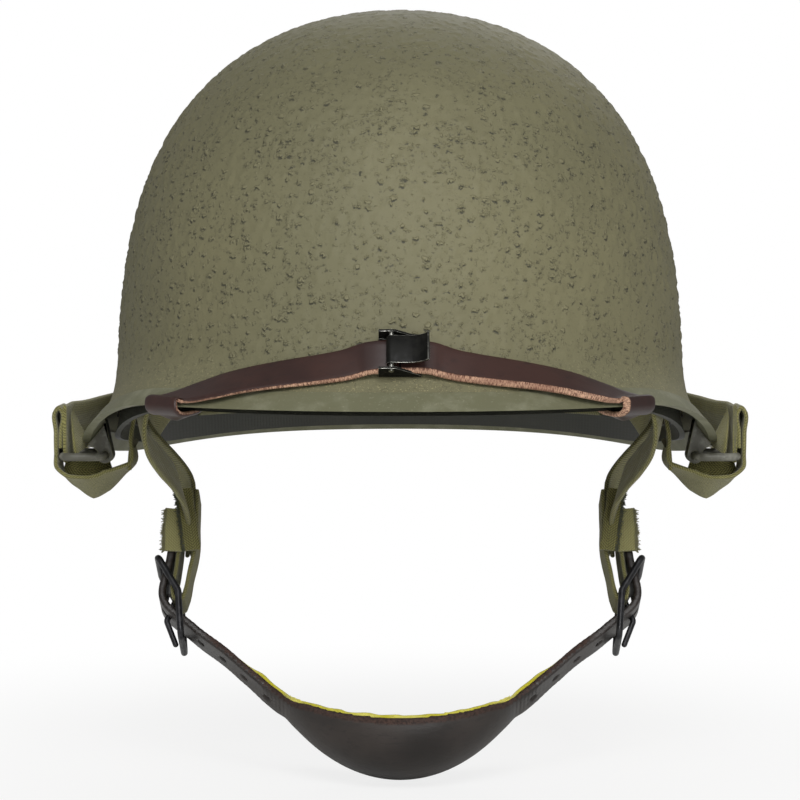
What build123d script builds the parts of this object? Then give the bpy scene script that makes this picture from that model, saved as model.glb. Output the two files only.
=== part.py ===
from build123d import *
import math
import os

# Steel pot helmet: a pressed steel shell over a fibre liner, with a webbing
# suspension, a web yoke on each side and a padded leather chin cup.
# Millimetres, +Z up, the visor towards -Y. Left and right are as seen from the front.
# The origin is the centre of the head opening at the sweatband's lower edge.

# Steel shell
shell_side = 109.0
shell_front = 118.5
shell_rear = 125.0
dome_height = 173.0
shell_wall = 1.12
visor_flare = 22.0
side_flare = 12.0
nape_flare = 13.0
flare_run = 14.0
temple_rise = 5.0
visor_rise = 22.0
nape_rise = 4.0
ear_place = 60.0
temple_start = 15.0
temple_run = 115.0
seat_above_rim = 26.0
crown_power_share = 3.3
side_power_share = 2.1

# Rolled steel edging on the shell's rim
edging_depth = 5.5
edging_wall = 0.5
edging_fit = 0.12

# Fibre liner
liner_gap = 1.4
liner_wall = 2.0
liner_visor_flare = 20.0
liner_side_flare = 3.5
liner_nape_flare = 8.0
liner_base = 3.0
liner_temple_rise = 4.0
liner_visor_rise = 17.5
liner_nape_rise = 3.0

# Suspension inside the liner
web_width = 19.0
web_thickness = 1.6
rest_gap = 0.3
crown_clearance = 24.0
band_standoff = 16.0
band_rivet_height = 37.0
band_turn_height = 61.0
rivet_shank_radius = 2.0
rivet_head_radius = 4.2
rivet_head_height = 0.7
head_stand = 0.42
shank_fit = 0.1
washer_width = 15.0
washer_height = 17.0
washer_thickness = 0.8
sweatband_height = 38.0
sweatband_thickness = 1.8
head_ring_height = 14.0
clip_width = 9.0
clip_wall = 0.7
clip_length = 9.0
nape_strap_low = 10.5
nape_strap_height = 15.0

# Wire bails and their lugs
bail_wire_radius = 1.55
bail_width = 28.0
bail_reach = 15.5
bail_hinge_x = 113.0
bail_y = -12.0
bail_height = 2.6
bail_bend = 4.5
hinge_fit = 0.06
lug_width = 10.0
lug_wall = 1.5

# Web chinstraps hooked over the rear brim
rear_web_width = 22.0
rear_web_height = 17.0
tab_width = 20.0
hook_length = 26.0
hook_wall = 1.4
slider_wire_radius = 1.4
slider_length = 14.0

# Web yokes, buckle loops and buckles
yoke_front_y = -52.0
yoke_rear_y = 50.0
yoke_front_height = 31.0
yoke_rear_height = 25.0
yoke_web_thickness = 1.8
yoke_foot = 17.0
front_lean_share = 0.36
rear_lean_share = 0.62
seam_height = 32.0
seam_length = 22.0
buckle_axis_x = 85.0
buckle_axis_y = -10.0
buckle_axis_height = -54.0
cup_tilt = 27.0
buckle_wire_radius = 1.3
buckle_inside_width = 21.0
buckle_top_out = 8.2
buckle_top_rise = 13.8
buckle_foot_in = 1.6
buckle_foot_drop = 18.0
prong_radius = 1.1
prong_eye_width = 3.0
prong_swing = 25.0

# Leather chin cup
cup_strap_width = 17.0
cup_strap_thickness = 2.8
cup_half_length = 45.0
cup_half_width = 21.0
cup_depth = 67.0
bowl_depth = 71.0
cup_rim_depth = 55.0
cup_hole_radius = 1.6
cup_hole_pitch = 11.0
lining_thickness = 1.2

# Leather strap of the liner, stowed over the visor, and its cam clip
leather_width = 13.0
leather_thickness = 1.9
clip_plate_length = 15.0
clip_plate_wall = 0.8
lever_length = 13.0
lever_width = 10.6
lever_pin_radius = 0.9
lever_pin_place_share = 0.3
stud_radius = 3.6
stud_height = 1.4
snap_radius = 6.2
snap_height = 2.2
end_clip_length = 13.0
end_clip_width = 8.0

overrun = 40.0
section_points = 32
flare_sections = 10
upper_sections = 11
low_step_share = 0.43
crown_flat_share = 0.9985
floor_z = -seat_above_rim


def ease(share):
    """Smooth step from 0 to 1."""
    share = min(max(share, 0), 1)
    return share * share * (3 - 2 * share)


class Brim:
    """How far a skin flares at its lower edge, and the height of that edge."""

    def __init__(self, front, side, rear, base, temple, visor, nape):
        self.front = front
        self.side = side
        self.rear = rear
        self.base = base
        self.temple = temple
        self.visor = visor
        self.nape = nape

    def height(self, y):
        behind = (y - ear_place) / (shell_rear + nape_flare - ear_place)
        edge = self.base + self.temple * ease((ear_place - y) / ear_place)
        edge += self.visor * ease((temple_start - y) / temple_run)
        return edge + self.nape * ease(behind)


shell_brim = Brim(visor_flare, side_flare, nape_flare, 0, temple_rise, visor_rise, nape_rise)
liner_brim = Brim(liner_visor_flare, liner_side_flare, liner_nape_flare,
                  liner_base, liner_temple_rise, liner_visor_rise, liner_nape_rise)
liner_inset = shell_wall + liner_gap
liner_inside = liner_inset + liner_wall


def skin_point(angle, height, inset, brim):
    """A point of the dome, inset from the shell's outer skin, at a height above the rim's lowest point.
    The angle runs from +X towards the rear."""
    across = math.cos(angle)
    along = math.sin(angle)
    side = shell_side - inset
    length = (shell_front if along < 0 else shell_rear) - inset
    crown = dome_height - inset
    full = (1 - (max(height, 0) / crown) ** crown_power_share) ** (1 / side_power_share)
    end_flare = brim.front if along < 0 else brim.rear
    reach = brim.side + (end_flare - brim.side) * along * along
    growth = math.exp(2 * (height - brim.height((length + reach) * along)) / flare_run)
    flare = 2 * reach / (1 + growth)
    slope = 2 * flare * growth / (1 + growth) / flare_run
    flare -= inset * (math.hypot(1, slope) - 1)
    return Vector((side * full + flare) * across, (length * full + flare) * along, height + floor_z)


def angle_at(y, height, inset, brim):
    """The angle on the left half (x below 0) where the skin passes the given y."""
    low = math.pi / 2
    high = 3 * math.pi / 2
    for _ in range(40):
        middle = (low + high) / 2
        if skin_point(middle, height, inset, brim).Y > y:
            low = middle
        else:
            high = middle
    return (low + high) / 2


def skin_solid(inset, brim):
    """The dome filled up to one skin, from under the rim to a small flat at the crown."""
    crown = dome_height - inset
    low_step = flare_run * low_step_share
    heights = [low_step * step for step in range(-1, flare_sections)]
    start = math.asin(heights[-1] / crown)
    last = math.asin(crown_flat_share)
    for step in range(1, upper_sections + 1):
        heights.append(crown * math.sin(start + (last - start) * step / upper_sections))
    wires = []
    for height in heights:
        outline = [skin_point(2 * math.pi * point / section_points, height, inset, brim)
                   for point in range(section_points)]
        wires.append(Wire([Edge.make_spline(outline, periodic=True)]))
    return Solid.make_loft(wires)


def above_rim(brim, shift):
    """All the space above a rim line moved up by shift."""
    far = shell_rear + nape_flare + overrun
    step = 2 * far / section_points
    line = [(-far + step * place, brim.height(-far + step * place) + floor_z + shift)
            for place in range(section_points + 1)]
    edge = Spline(*line)
    top = dome_height + overrun
    closing = Polyline(line[-1], (far, top), (-far, top), line[0])
    return extrude(Plane.YZ * make_face([edge, closing]), amount=shell_side + 2 * overrun, both=True)


def whole(shape):
    """The largest solid of a boolean's result."""
    return max(shape.solids(), key=lambda solid: solid.volume)


def strap(stations, width, thickness):
    """A flat strap lofted through (centre, width direction, travel direction) stations."""
    wires = []
    for centre, across, travel in stations:
        normal = across.cross(travel).normalized()
        half = travel.cross(normal).normalized() * (width / 2)
        deep = normal * (thickness / 2)
        corners = [centre - half - deep, centre + half - deep, centre + half + deep, centre - half + deep]
        wires.append(Wire.make_polygon(corners, close=True))
    return Solid.make_loft(wires, ruled=True)


def route(points, acrosses, steps=1):
    """Stations on a smooth line through the points, with so many steps to each span."""
    last = len(points) - 1
    spans = [(points[place + 1] - points[place]).length for place in range(last)]
    tangents = []
    for place in range(last + 1):
        before = max(place - 1, 0)
        after = min(place, last - 1)
        arriving = (points[before + 1] - points[before]).normalized()
        leaving = (points[after + 1] - points[after]).normalized()
        mixed = arriving * spans[after] + leaving * spans[before]
        tangents.append(mixed * (1 / (spans[before] + spans[after])))
    stations = [(points[0], acrosses[0], tangents[0])]
    for place, span in enumerate(spans):
        for step in range(1, steps + 1):
            t = step / steps
            passed = 3 * t ** 2 - 2 * t ** 3
            here = points[place] * (1 - passed) + points[place + 1] * passed
            here += tangents[place] * (span * (t ** 3 - 2 * t ** 2 + t))
            here += tangents[place + 1] * (span * (t ** 3 - t ** 2))
            travel = (points[place + 1] - points[place]) * (6 * t - 6 * t ** 2)
            travel += tangents[place] * (span * (3 * t ** 2 - 4 * t + 1))
            travel += tangents[place + 1] * (span * (3 * t ** 2 - 2 * t))
            across = acrosses[place] * (1 - t) + acrosses[place + 1] * t
            stations.append((here, across, travel))
    return stations


def ribbon(points, thickness, width):
    """A strap bent in the XZ plane: a spline line given a thickness and a width along Y."""
    middle = Spline(*points)
    samples = 4 * len(points)
    sides = ([], [])
    for sample in range(samples + 1):
        place = middle @ (sample / samples)
        travel = middle % (sample / samples)
        normal = Vector(-travel.Y, travel.X) * (thickness / 2)
        sides[0].append(place + normal)
        sides[1].append(place - normal)
    upper = Spline(*sides[0])
    lower = Spline(*sides[1])
    ends = [Line(sides[0][0], sides[1][0]), Line(sides[0][-1], sides[1][-1])]
    return extrude(Plane.XZ * make_face([upper, lower] + ends), amount=width / 2, both=True)


def rod(points, radius, bend, close=False):
    """A round wire along a path of straight runs and arcs."""
    path = FilletPolyline(*points, radius=bend, close=close)
    return sweep(Plane(path @ 0, z_dir=path % 0) * Circle(radius), path=path)


def mirrored(shape):
    return mirror(shape, about=Plane.YZ)


parts = {}


# Steel shell: one sheet drawn into a dome, cut along the rim and rolled outwards.
outer_skin = skin_solid(0, shell_brim)
inner_skin = skin_solid(shell_wall, shell_brim)
parts["steel_shell"] = whole((outer_skin - inner_skin) & above_rim(shell_brim, 0))


# Rim edging: a thin folded strip that wraps the shell's cut edge.
def edging():
    thick = edging_wall + edging_fit
    channel = skin_solid(-thick, shell_brim) - skin_solid(shell_wall + thick, shell_brim)
    channel = channel & above_rim(shell_brim, -thick)
    channel = channel - above_rim(shell_brim, edging_depth)
    core = skin_solid(-edging_fit, shell_brim) - skin_solid(shell_wall + edging_fit, shell_brim)
    return whole(channel - (core & above_rim(shell_brim, -edging_fit)))


parts["rim_edging"] = edging()


# Liner: moulded fibre bowl that sits inside the shell, a little shorter at the rim.
liner_outer = skin_solid(liner_inset, liner_brim)
liner_inner = skin_solid(liner_inside, liner_brim)
liner = whole((liner_outer - liner_inner) & above_rim(liner_brim, 0))


frame_step_share = 0.004


def skin_frame(angle, height, inset, brim):
    """A place on a skin: the point, the outward normal, the level direction and the way up."""
    here = skin_point(angle, height, inset, brim)
    side = skin_point(angle + frame_step_share, height, inset, brim)
    side = (side - skin_point(angle - frame_step_share, height, inset, brim)).normalized()
    climb = dome_height * frame_step_share
    rise = skin_point(angle, height + climb, inset, brim) - skin_point(angle, height - climb, inset, brim)
    rise = rise.normalized()
    out = side.cross(rise)
    if out.dot(Vector(here.X, here.Y, 0)) < 0:
        out = out * -1
    return here, out, side, rise


def post(centre, out, radius, start, end):
    """A short cylinder about an outward direction, from start to end along it."""
    plane = Plane(centre + out * start, z_dir=out)
    return extrude(plane * Circle(radius), amount=end - start)


# Suspension bands: three webs that cross under the crown, each end riveted flat to the liner.
# A flat web touches the hollow wall at its two edges, so its middle stands off by the wall's bow.
up = Vector(0, 0, 1)
wall_bow = web_width ** 2 / (8 * shell_side)
web_seat = rest_gap + wall_bow
layer = web_thickness + 2.2 * rest_gap
band_turn_steps = 8
band_rise_steps = 14


def band_half(angle, level):
    """Half of a band, from its rivet to the crown."""
    wall, out, side, rise = skin_frame(angle, band_rivet_height, liner_inside, liner_brim)
    seat = wall - out * (web_seat + web_thickness / 2)
    turn = skin_point(angle, band_turn_height, liner_inside + band_standoff, liner_brim)
    climb = dome_height - liner_inside - crown_clearance - level * layer - band_turn_height
    flat = Vector(turn.X, turn.Y, 0)
    lower = seat + rise * (washer_height / 2 + rest_gap)
    points = [seat - rise * (web_width / 2), seat, lower]
    for step in range(1, band_turn_steps + 1):
        share = step / band_turn_steps
        inward = (turn - lower) * ease(share)
        points.append(Vector(lower.X + inward.X, lower.Y + inward.Y, lower.Z + (turn.Z - lower.Z) * share))
    for step in range(1, band_rise_steps):
        swing = step / band_rise_steps * math.pi / 2
        points.append(flat * math.cos(swing) + up * (turn.Z + climb * math.sin(swing)))
    return points, side, up * (turn.Z + climb)


def suspension_band(number):
    angle = math.pi / 3 * number
    first, side, top = band_half(angle, number)
    second, other_side, top = band_half(angle + math.pi, number)
    points = first + [top] + second[::-1]
    return strap(route(points, [side] * len(points)), web_width, web_thickness)


bands = [suspension_band(number) for number in range(3)]


# Rivets and washers that hold webbing to the liner wall. Each shank has its bore.
def wall_rivet(angle, height, depth):
    """A rivet through the liner and depth of webbing: the rivet and its bore."""
    wall, out, side, rise = skin_frame(angle, height, liner_inside, liner_brim)
    outer_seat = liner_wall + head_stand
    body = post(wall, out, rivet_shank_radius, -depth, outer_seat)
    body = body + post(wall, out, rivet_head_radius, outer_seat, outer_seat + rivet_head_height)
    body = body + post(wall, out, rivet_head_radius, -depth - rivet_head_height, -depth)
    bore = post(wall, out, rivet_shank_radius + shank_fit, -depth - shank_fit, outer_seat + shank_fit)
    return whole(body), bore


web_stack = web_seat + web_thickness + shank_fit
band_rivets = []
band_washers = []
for number in range(6):
    angle = math.pi / 3 * number
    rivet, bore = wall_rivet(angle, band_rivet_height, web_stack + washer_thickness + shank_fit)
    band_rivets.append(rivet)
    liner = liner - bore
    bands = [band - bore for band in bands]
    wall, out, side, rise = skin_frame(angle, band_rivet_height, liner_inside, liner_brim)
    plate = RectangleRounded(washer_width, washer_height, washer_width / 5)
    plate = plate - Circle(rivet_shank_radius + shank_fit)
    washer_plane = Plane(wall - out * (web_stack + washer_thickness), x_dir=side, z_dir=out)
    band_washers.append(extrude(washer_plane * plate, amount=washer_thickness))

for number, band in enumerate(bands):
    parts["suspension_band_" + str(number + 1)] = whole(band)
parts["suspension_rivets"] = Compound(band_rivets)
parts["suspension_washers"] = Compound(band_washers)


# Head ring and sweatband: upright closed bands that stand clear of the liner, held by spring clips.
sweatband_top = seat_above_rim + sweatband_height


def ring(inset, thickness, low, height):
    """An upright band that follows the plan of the dome at the sweatband's upper edge."""
    faces = []
    for depth in (inset, inset + thickness):
        outline = [skin_point(2 * math.pi * point / section_points, sweatband_top, depth, liner_brim)
                   for point in range(section_points)]
        outline = [Vector(point.X, point.Y, low + floor_z) for point in outline]
        faces.append(make_face([Edge.make_spline(outline, periodic=True)]))
    return extrude(faces[0] - faces[1], amount=height, dir=(0, 0, 1))


ring_inset = liner_inside + band_standoff + web_thickness / 2 + rest_gap
ring_low = sweatband_top - rest_gap - head_ring_height
sweatband_inset = ring_inset + web_thickness + rest_gap
parts["head_ring"] = ring(ring_inset, web_thickness, ring_low, head_ring_height)
parts["sweatband"] = ring(sweatband_inset, sweatband_thickness, seat_above_rim, sweatband_height)


def spring_clip(angle):
    """An inverted U of thin steel over the head ring and the sweatband."""
    wall = skin_point(angle, sweatband_top, ring_inset, liner_brim)
    side = skin_frame(angle, sweatband_top, ring_inset, liner_brim)[2]
    inward = up.cross(side)
    if inward.dot(Vector(wall.X, wall.Y, 0)) > 0:
        inward = inward * -1
    grip = sweatband_inset + sweatband_thickness - ring_inset + 2 * rest_gap
    tall = clip_length + rest_gap + clip_wall
    middle = wall + inward * (grip / 2 - rest_gap)
    local = Plane(middle, x_dir=side, z_dir=(0, 0, 1))
    outside = Pos(0, 0, tall / 2 - clip_length) * Box(clip_width, grip + 2 * clip_wall, tall)
    hollow = Pos(0, 0, -clip_length / 2) * Box(clip_width, grip, clip_length + 2 * rest_gap)
    return local * (outside - hollow)


clip_pitch = math.pi / 6
spring_clips = [spring_clip(clip_pitch * (number + 1 / 2)) for number in range(12)]
parts["sweatband_clips"] = Compound(spring_clips)


# Nape strap: a web along the liner's lower back, held by three snap studs.
nape_spread_share = 0.58
nape_spread = math.pi / 2 * nape_spread_share
nape_steps = 16
nape_snap_shares = (-0.86, 0, 0.86)
nape_level = nape_strap_low + nape_strap_height / 2
nape_points = []
nape_acrosses = []
for step in range(nape_steps + 1):
    angle = math.pi / 2 + nape_spread * (2 * step / nape_steps - 1)
    wall, out, side, rise = skin_frame(angle, nape_level, liner_inside, liner_brim)
    nape_points.append(wall - out * (rest_gap + web_thickness / 2))
    nape_acrosses.append(rise)
nape_strap = strap(route(nape_points, nape_acrosses), nape_strap_height, web_thickness)
nape_snaps = []
for share in nape_snap_shares:
    snap, bore = wall_rivet(math.pi / 2 + nape_spread * share, nape_level, web_thickness + 2 * rest_gap)
    nape_snaps.append(snap)
    liner = liner - bore
    nape_strap = nape_strap - bore
parts["nape_strap"] = whole(nape_strap)
parts["nape_snaps"] = Compound(nape_snaps)


# Lower harness. It is laid out upright about the axis of the buckles' middle bars, then tilted forward.
harness = Pos(0, buckle_axis_y, buckle_axis_height + floor_z) * Rot(-cup_tilt, 0, 0)


def harness_point(x, y, z):
    return (harness * Pos(x, y, z)).position


# Buckles: each is a bent wire frame with a middle bar, left one first, and a prong on that bar.
buckle_half = buckle_inside_width / 2 + buckle_wire_radius
buckle_top = (-buckle_axis_x - buckle_top_out, buckle_top_rise)
buckle_foot = (-buckle_axis_x + buckle_foot_in, -buckle_foot_drop)
buckle_bend = 2.2 * buckle_wire_radius


def buckle_frame():
    knee = (-buckle_axis_x, 0)
    front_side = [(x, -buckle_half, z) for x, z in (buckle_top, knee, buckle_foot)]
    rear_side = [(x, buckle_half, z) for x, z in (buckle_foot, knee, buckle_top)]
    points = front_side + rear_side
    loop = rod(points, buckle_wire_radius, buckle_bend, close=True)
    bar_start = Plane((-buckle_axis_x, -buckle_half, 0), z_dir=(0, 1, 0))
    bar = extrude(bar_start * Circle(buckle_wire_radius), amount=2 * buckle_half)
    return whole(loop + bar)


left_frame = harness * buckle_frame()
parts["left_buckle_frame"] = left_frame
parts["right_buckle_frame"] = mirrored(left_frame)

prong_eye_radius = buckle_wire_radius + hinge_fit + 1.3 * prong_radius
prong_start_drop = 0.47 * buckle_foot_drop
prong_root = (-buckle_axis_x - prong_eye_radius + prong_radius, 0, 0)
prong_elbow = (-buckle_axis_x - 1.75 * prong_eye_radius, 0, -prong_start_drop)


def prong():
    """A wire eye on the middle bar, and a tongue that crosses the strap to the foot bar."""
    middle = Plane((-buckle_axis_x, -prong_eye_width / 2, 0), z_dir=(0, 1, 0))
    eye = extrude(middle * Circle(prong_eye_radius), amount=prong_eye_width)
    tip = (buckle_foot[0] - buckle_wire_radius - prong_radius - rest_gap, 0, buckle_foot[1])
    tongue = rod([prong_root, prong_elbow, tip], prong_radius, 2 * prong_radius)
    tongue = tongue + Pos(*tip) * Sphere(prong_radius)
    bore = extrude(middle * Circle(buckle_wire_radius + hinge_fit), amount=prong_eye_width)
    return whole(eye + tongue - bore)


left_prong = harness * prong()
parts["left_prong"] = left_prong
parts["right_prong"] = mirrored(left_prong)


# Chin cup: one leather piece, a moulded bowl between two holed straps that weave through the buckles.
def cup_fullness(x):
    """1 at the middle of the bowl, 0 at its ends."""
    return max(1 - (x / cup_half_length) ** 2, 0)


strap_slope_shares = [(1.040, 0.36), (1.042, 0.24), (1.066, 0.09), (1.074, -0.012), (1.038, -0.09),
                      (0.988, -0.14), (0.890, -0.245), (0.793, -0.337), (0.713, -0.428), (0.624, -0.522),
                      (0.52, -0.62)]
strap_points = [(-buckle_axis_x * across, cup_depth * down) for across, down in strap_slope_shares]
cup_strap = ribbon(strap_points, cup_strap_thickness, cup_strap_width)
cup_end_depth = 0.61 * cup_depth


def bowl_section(x, depth_in, thickness):
    """A curved slice across the bowl at x, depth_in inside its outer face."""
    full = cup_fullness(x)
    half = cup_strap_width / 2 + (cup_half_width - cup_strap_width / 2) * full ** 0.7 - depth_in / 3
    edge = -cup_end_depth - (cup_rim_depth - cup_end_depth) * full ** 0.8 + depth_in / 2
    sag = cup_strap_thickness / 4
    bottom = -cup_end_depth - sag - (bowl_depth - cup_end_depth - sag) * full ** 0.8 + depth_in
    lift = Vector(0, 0, thickness)
    shrink = Vector(0, thickness / 3, 0)
    front = Vector(x, -half, edge)
    middle = Vector(x, 0, bottom)
    back = Vector(x, half, edge)
    outer = ThreePointArc(front, middle, back)
    inner_front = front + lift / 2 + shrink
    inner_back = back + lift / 2 - shrink
    inner = ThreePointArc(inner_back, middle + lift, inner_front)
    sides = [Line(back, inner_back), Line(inner_front, front)]
    return Wire([outer.edge(), sides[0].edge(), inner.edge(), sides[1].edge()])


bowl_shares = [-1, -0.97, -0.9, -0.78, -0.6, -0.4, -0.2, 0, 0.2, 0.4, 0.6, 0.78, 0.9, 0.97, 1]
bowl_sections = [bowl_section(cup_half_length * share, 0, cup_strap_thickness) for share in bowl_shares]
bowl = Solid.make_loft(bowl_sections)
chin_cup = bowl + cup_strap + mirrored(cup_strap)
hole_line = Vector(strap_points[9][0] - strap_points[6][0], 0, strap_points[9][1] - strap_points[6][1])
hole_line = hole_line.normalized()
hole_out = Vector(hole_line.Z, 0, -hole_line.X)
first_hole = Vector(strap_points[6][0], 0, strap_points[6][1])
for number in range(4):
    centre = first_hole + hole_line * (cup_hole_pitch * number)
    plane = Plane(centre - hole_out * cup_strap_thickness, z_dir=hole_out)
    hole = extrude(plane * Circle(cup_hole_radius), amount=2 * cup_strap_thickness)
    chin_cup = chin_cup - hole - mirrored(hole)

# The prong's tongue passes through a slot in the strap, long enough for the tongue's own swing.
tongue_line = Vector(*prong_elbow) - Vector(*prong_root)
tongue_passage = extrude(Plane(Vector(*prong_root), z_dir=tongue_line) * Circle(prong_radius + rest_gap),
                         amount=tongue_line.length + prong_radius)
swing_steps = 5
for step in range(swing_steps + 1):
    turned = Pos(buckle_axis_x, 0, 0) * tongue_passage
    turned = Rot(0, prong_swing * step / swing_steps, 0) * turned
    passage = Pos(-buckle_axis_x, 0, 0) * turned
    chin_cup = chin_cup - passage - mirrored(passage)
parts["chin_cup"] = harness * whole(chin_cup)

# Soft lining inside the bowl, glued in and just short of the leather's edge.
lining_shares = [-0.93, -0.86, -0.74, -0.58, -0.4, -0.2, 0, 0.2, 0.4, 0.58, 0.74, 0.86, 0.93]
lining_depth = cup_strap_thickness + rest_gap / 2
parts["chin_cup_lining"] = harness * Solid.make_loft(
    [bowl_section(cup_half_length * share, lining_depth, lining_thickness) for share in lining_shares])


# Buckle loops: a web folded round each middle bar, its two ends sewn over the yoke's legs.
# From the inside out the seam holds the loop's inner end, the rear leg, the front leg and the outer end.
loop_radius = buckle_wire_radius + rest_gap / 2 + web_thickness / 2
loop_outer_x = -buckle_axis_x - rest_gap / 2
front_lane_x = loop_outer_x + web_thickness / 2 + rest_gap + yoke_web_thickness / 2
rear_lane_x = front_lane_x + yoke_web_thickness + rest_gap
loop_inner_x = rear_lane_x + yoke_web_thickness / 2 + rest_gap + web_thickness / 2
loop_top = seam_height + seam_length / 2
loop_meet = seam_height - seam_length / 2
loop_arc_steps = 4


def buckle_loop():
    """Side view of the folded web, widened along the bar, with a slot for the prong's eye."""
    line = [(loop_inner_x, loop_top), (loop_inner_x, seam_height), (loop_inner_x, loop_meet),
            ((loop_inner_x - buckle_axis_x + loop_radius) / 2, loop_meet / 2)]
    for step in range(loop_arc_steps + 1):
        turn = math.pi * step / loop_arc_steps
        line.append((-buckle_axis_x + loop_radius * math.cos(turn), -loop_radius * math.sin(turn)))
    line += [((loop_outer_x - buckle_axis_x - loop_radius) / 2, loop_meet / 2), (loop_outer_x, loop_meet),
             (loop_outer_x, seam_height), (loop_outer_x - web_thickness, loop_top - web_thickness)]
    points = [Vector(x, 0, z) for x, z in line]
    body = strap(route(points, [Vector(0, 1, 0)] * len(points), 3), cup_strap_width, web_thickness)
    slot = Pos(-buckle_axis_x, 0, 0) * Box(8 * loop_radius, prong_eye_width + 2 * rest_gap, 5 * loop_radius)
    return whole(body - slot)


left_loop = harness * buckle_loop()
parts["left_buckle_loop"] = left_loop
parts["right_buckle_loop"] = mirrored(left_loop)


# Yokes: on each side a front and a rear web leg, riveted inside the liner and sewn into the buckle loop.
leg_curve_steps = 12


def yoke_leg(wall_y, rivet_height, lean_share, lane_x, straight):
    """One leg: flat on the liner wall at its rivet, then a free curve to its lane in the loop's seam."""
    angle = angle_at(wall_y, rivet_height, liner_inside, liner_brim)
    wall, out, side, rise = skin_frame(angle, rivet_height, liner_inside, liner_brim)
    if side.Y * wall_y > 0:
        side = side * -1
    pull = (side * lean_share - rise).normalized()
    seat = wall - out * (web_seat + yoke_web_thickness / 2)
    seam = harness_point(lane_x, 0, seam_height)
    along = Vector(0, seam.Y - seat.Y, seam.Z - seat.Z).normalized()
    leave = seat + pull * (2 * rivet_head_radius)
    arrive = seam - along * straight
    handle = (arrive - leave).length / 3
    points = [seat - pull * (yoke_foot / 2), seat]
    normals = [out, out]
    for step in range(leg_curve_steps + 1):
        t = step / leg_curve_steps
        here = leave * (1 - t) ** 3 + (leave + pull * handle) * (3 * t * (1 - t) ** 2)
        here += (arrive - along * handle) * (3 * t ** 2 * (1 - t)) + arrive * t ** 3
        points.append(here)
        normals.append(out * (1 - ease(t)) + Vector(-ease(t), 0, 0))
    points += [seam, seam + along * (web_width / 2)]
    normals += [Vector(-1, 0, 0)] * 2
    acrosses = []
    for place, normal in enumerate(normals):
        travel = points[min(place + 1, len(points) - 1)] - points[max(place - 1, 0)]
        acrosses.append(normal.cross(travel).normalized())
    rivet, bore = wall_rivet(angle, rivet_height, web_seat + yoke_web_thickness + shank_fit)
    leg = strap(route(points, acrosses), web_width, yoke_web_thickness)
    return whole(leg - bore), rivet, bore


front_straight = 0.65 * web_width
rear_straight = 0.85 * web_width
front_leg = yoke_leg(yoke_front_y, yoke_front_height, front_lean_share, front_lane_x, front_straight)
rear_leg = yoke_leg(yoke_rear_y, yoke_rear_height, rear_lean_share, rear_lane_x, rear_straight)
yoke_rivets = []
for place, (leg, rivet, bore) in (("front", front_leg), ("rear", rear_leg)):
    parts["left_yoke_" + place + "_leg"] = leg
    parts["right_yoke_" + place + "_leg"] = mirrored(leg)
    yoke_rivets += [rivet, mirrored(rivet)]
    liner = liner - bore - mirrored(bore)
parts["yoke_rivets"] = Compound(yoke_rivets)


# Bails: closed wire loops that swing in welded lugs at the shell's sides.
bail_z = bail_height + floor_z
bail_bar_x = -bail_hinge_x - bail_reach
bail_corners = [(-bail_hinge_x, bail_y - bail_width / 2, bail_z),
                (-bail_hinge_x, bail_y + bail_width / 2, bail_z),
                (bail_bar_x, bail_y + bail_width / 2, bail_z),
                (bail_bar_x, bail_y - bail_width / 2, bail_z)]
left_bail = whole(rod(bail_corners, bail_wire_radius, bail_bend, close=True))
parts["left_bail"] = left_bail
parts["right_bail"] = mirrored(left_bail)


def bail_lug():
    """A folded plate: a knuckle round the bail's inner bar, with a tongue welded inside the shell."""
    middle = Plane((-bail_hinge_x, bail_y - lug_width / 2, bail_z), z_dir=(0, 1, 0))
    knuckle_radius = bail_wire_radius + hinge_fit + lug_wall
    knuckle = extrude(middle * Circle(knuckle_radius), amount=lug_width)
    tongue_top = bail_z + 4.6 * knuckle_radius
    outside_x = -shell_side - side_flare
    tongue = Polyline((-bail_hinge_x + knuckle_radius, bail_z),
                      (-bail_hinge_x, tongue_top),
                      (outside_x, tongue_top),
                      (outside_x, bail_z + knuckle_radius * 1.9),
                      (-bail_hinge_x - knuckle_radius, bail_z + knuckle_radius * 0.6),
                      (-bail_hinge_x - knuckle_radius * 0.5, bail_z), close=True)
    plate = Pos(0, bail_y, 0) * extrude(Plane.XZ * make_face(tongue), amount=lug_width / 2, both=True)
    past_edging = skin_solid(shell_wall + edging_wall + 3 * edging_fit, shell_brim)
    at_wall = skin_solid(shell_wall + edging_fit, shell_brim)
    at_wall = at_wall & above_rim(shell_brim, edging_depth + edging_fit)
    bore = extrude(middle * Circle(bail_wire_radius + hinge_fit), amount=lug_width)
    near = Pos(-bail_hinge_x, bail_y, bail_z) * Box(lug_width * 4, lug_width * 2, lug_width * 6)
    tongue_plate = (plate & near & past_edging) + (plate & near & at_wall)
    return whole(knuckle + tongue_plate - bore)


left_lug = bail_lug()
parts["left_bail_lug"] = left_lug
parts["right_bail_lug"] = mirrored(left_lug)


# Web chinstraps: each is sewn round its bail's outer bar and carried back over the rear brim.
web_offset = web_thickness / 2 + edging_wall + 2 * edging_fit + rest_gap
rear_angle_shares = [0.3, 0.42, 0.54, 0.66, 0.78, 0.88]
bar_wrap = bail_wire_radius + rest_gap + web_thickness / 2


def laid(angle, height, offset, width):
    """Centre, width direction and outward direction of a flat web on the shell: its edges touch."""
    here, out, side, rise = skin_frame(angle, height, 0, shell_brim)
    low = skin_point(angle, height - rise.Z * width / 2, -offset, shell_brim)
    high = skin_point(angle, height + rise.Z * width / 2, -offset, shell_brim)
    normal = side.cross(high - low).normalized()
    if normal.dot(out) < 0:
        normal = normal * -1
    return (low + high) * 0.5, high - low, normal


rear_centre, rear_across, rear_out = laid(math.pi / 2, rear_web_height, web_offset, rear_web_width)
rear_place = Plane(rear_centre + rear_out * (web_thickness / 2), x_dir=(1, 0, 0), z_dir=rear_out)


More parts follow.
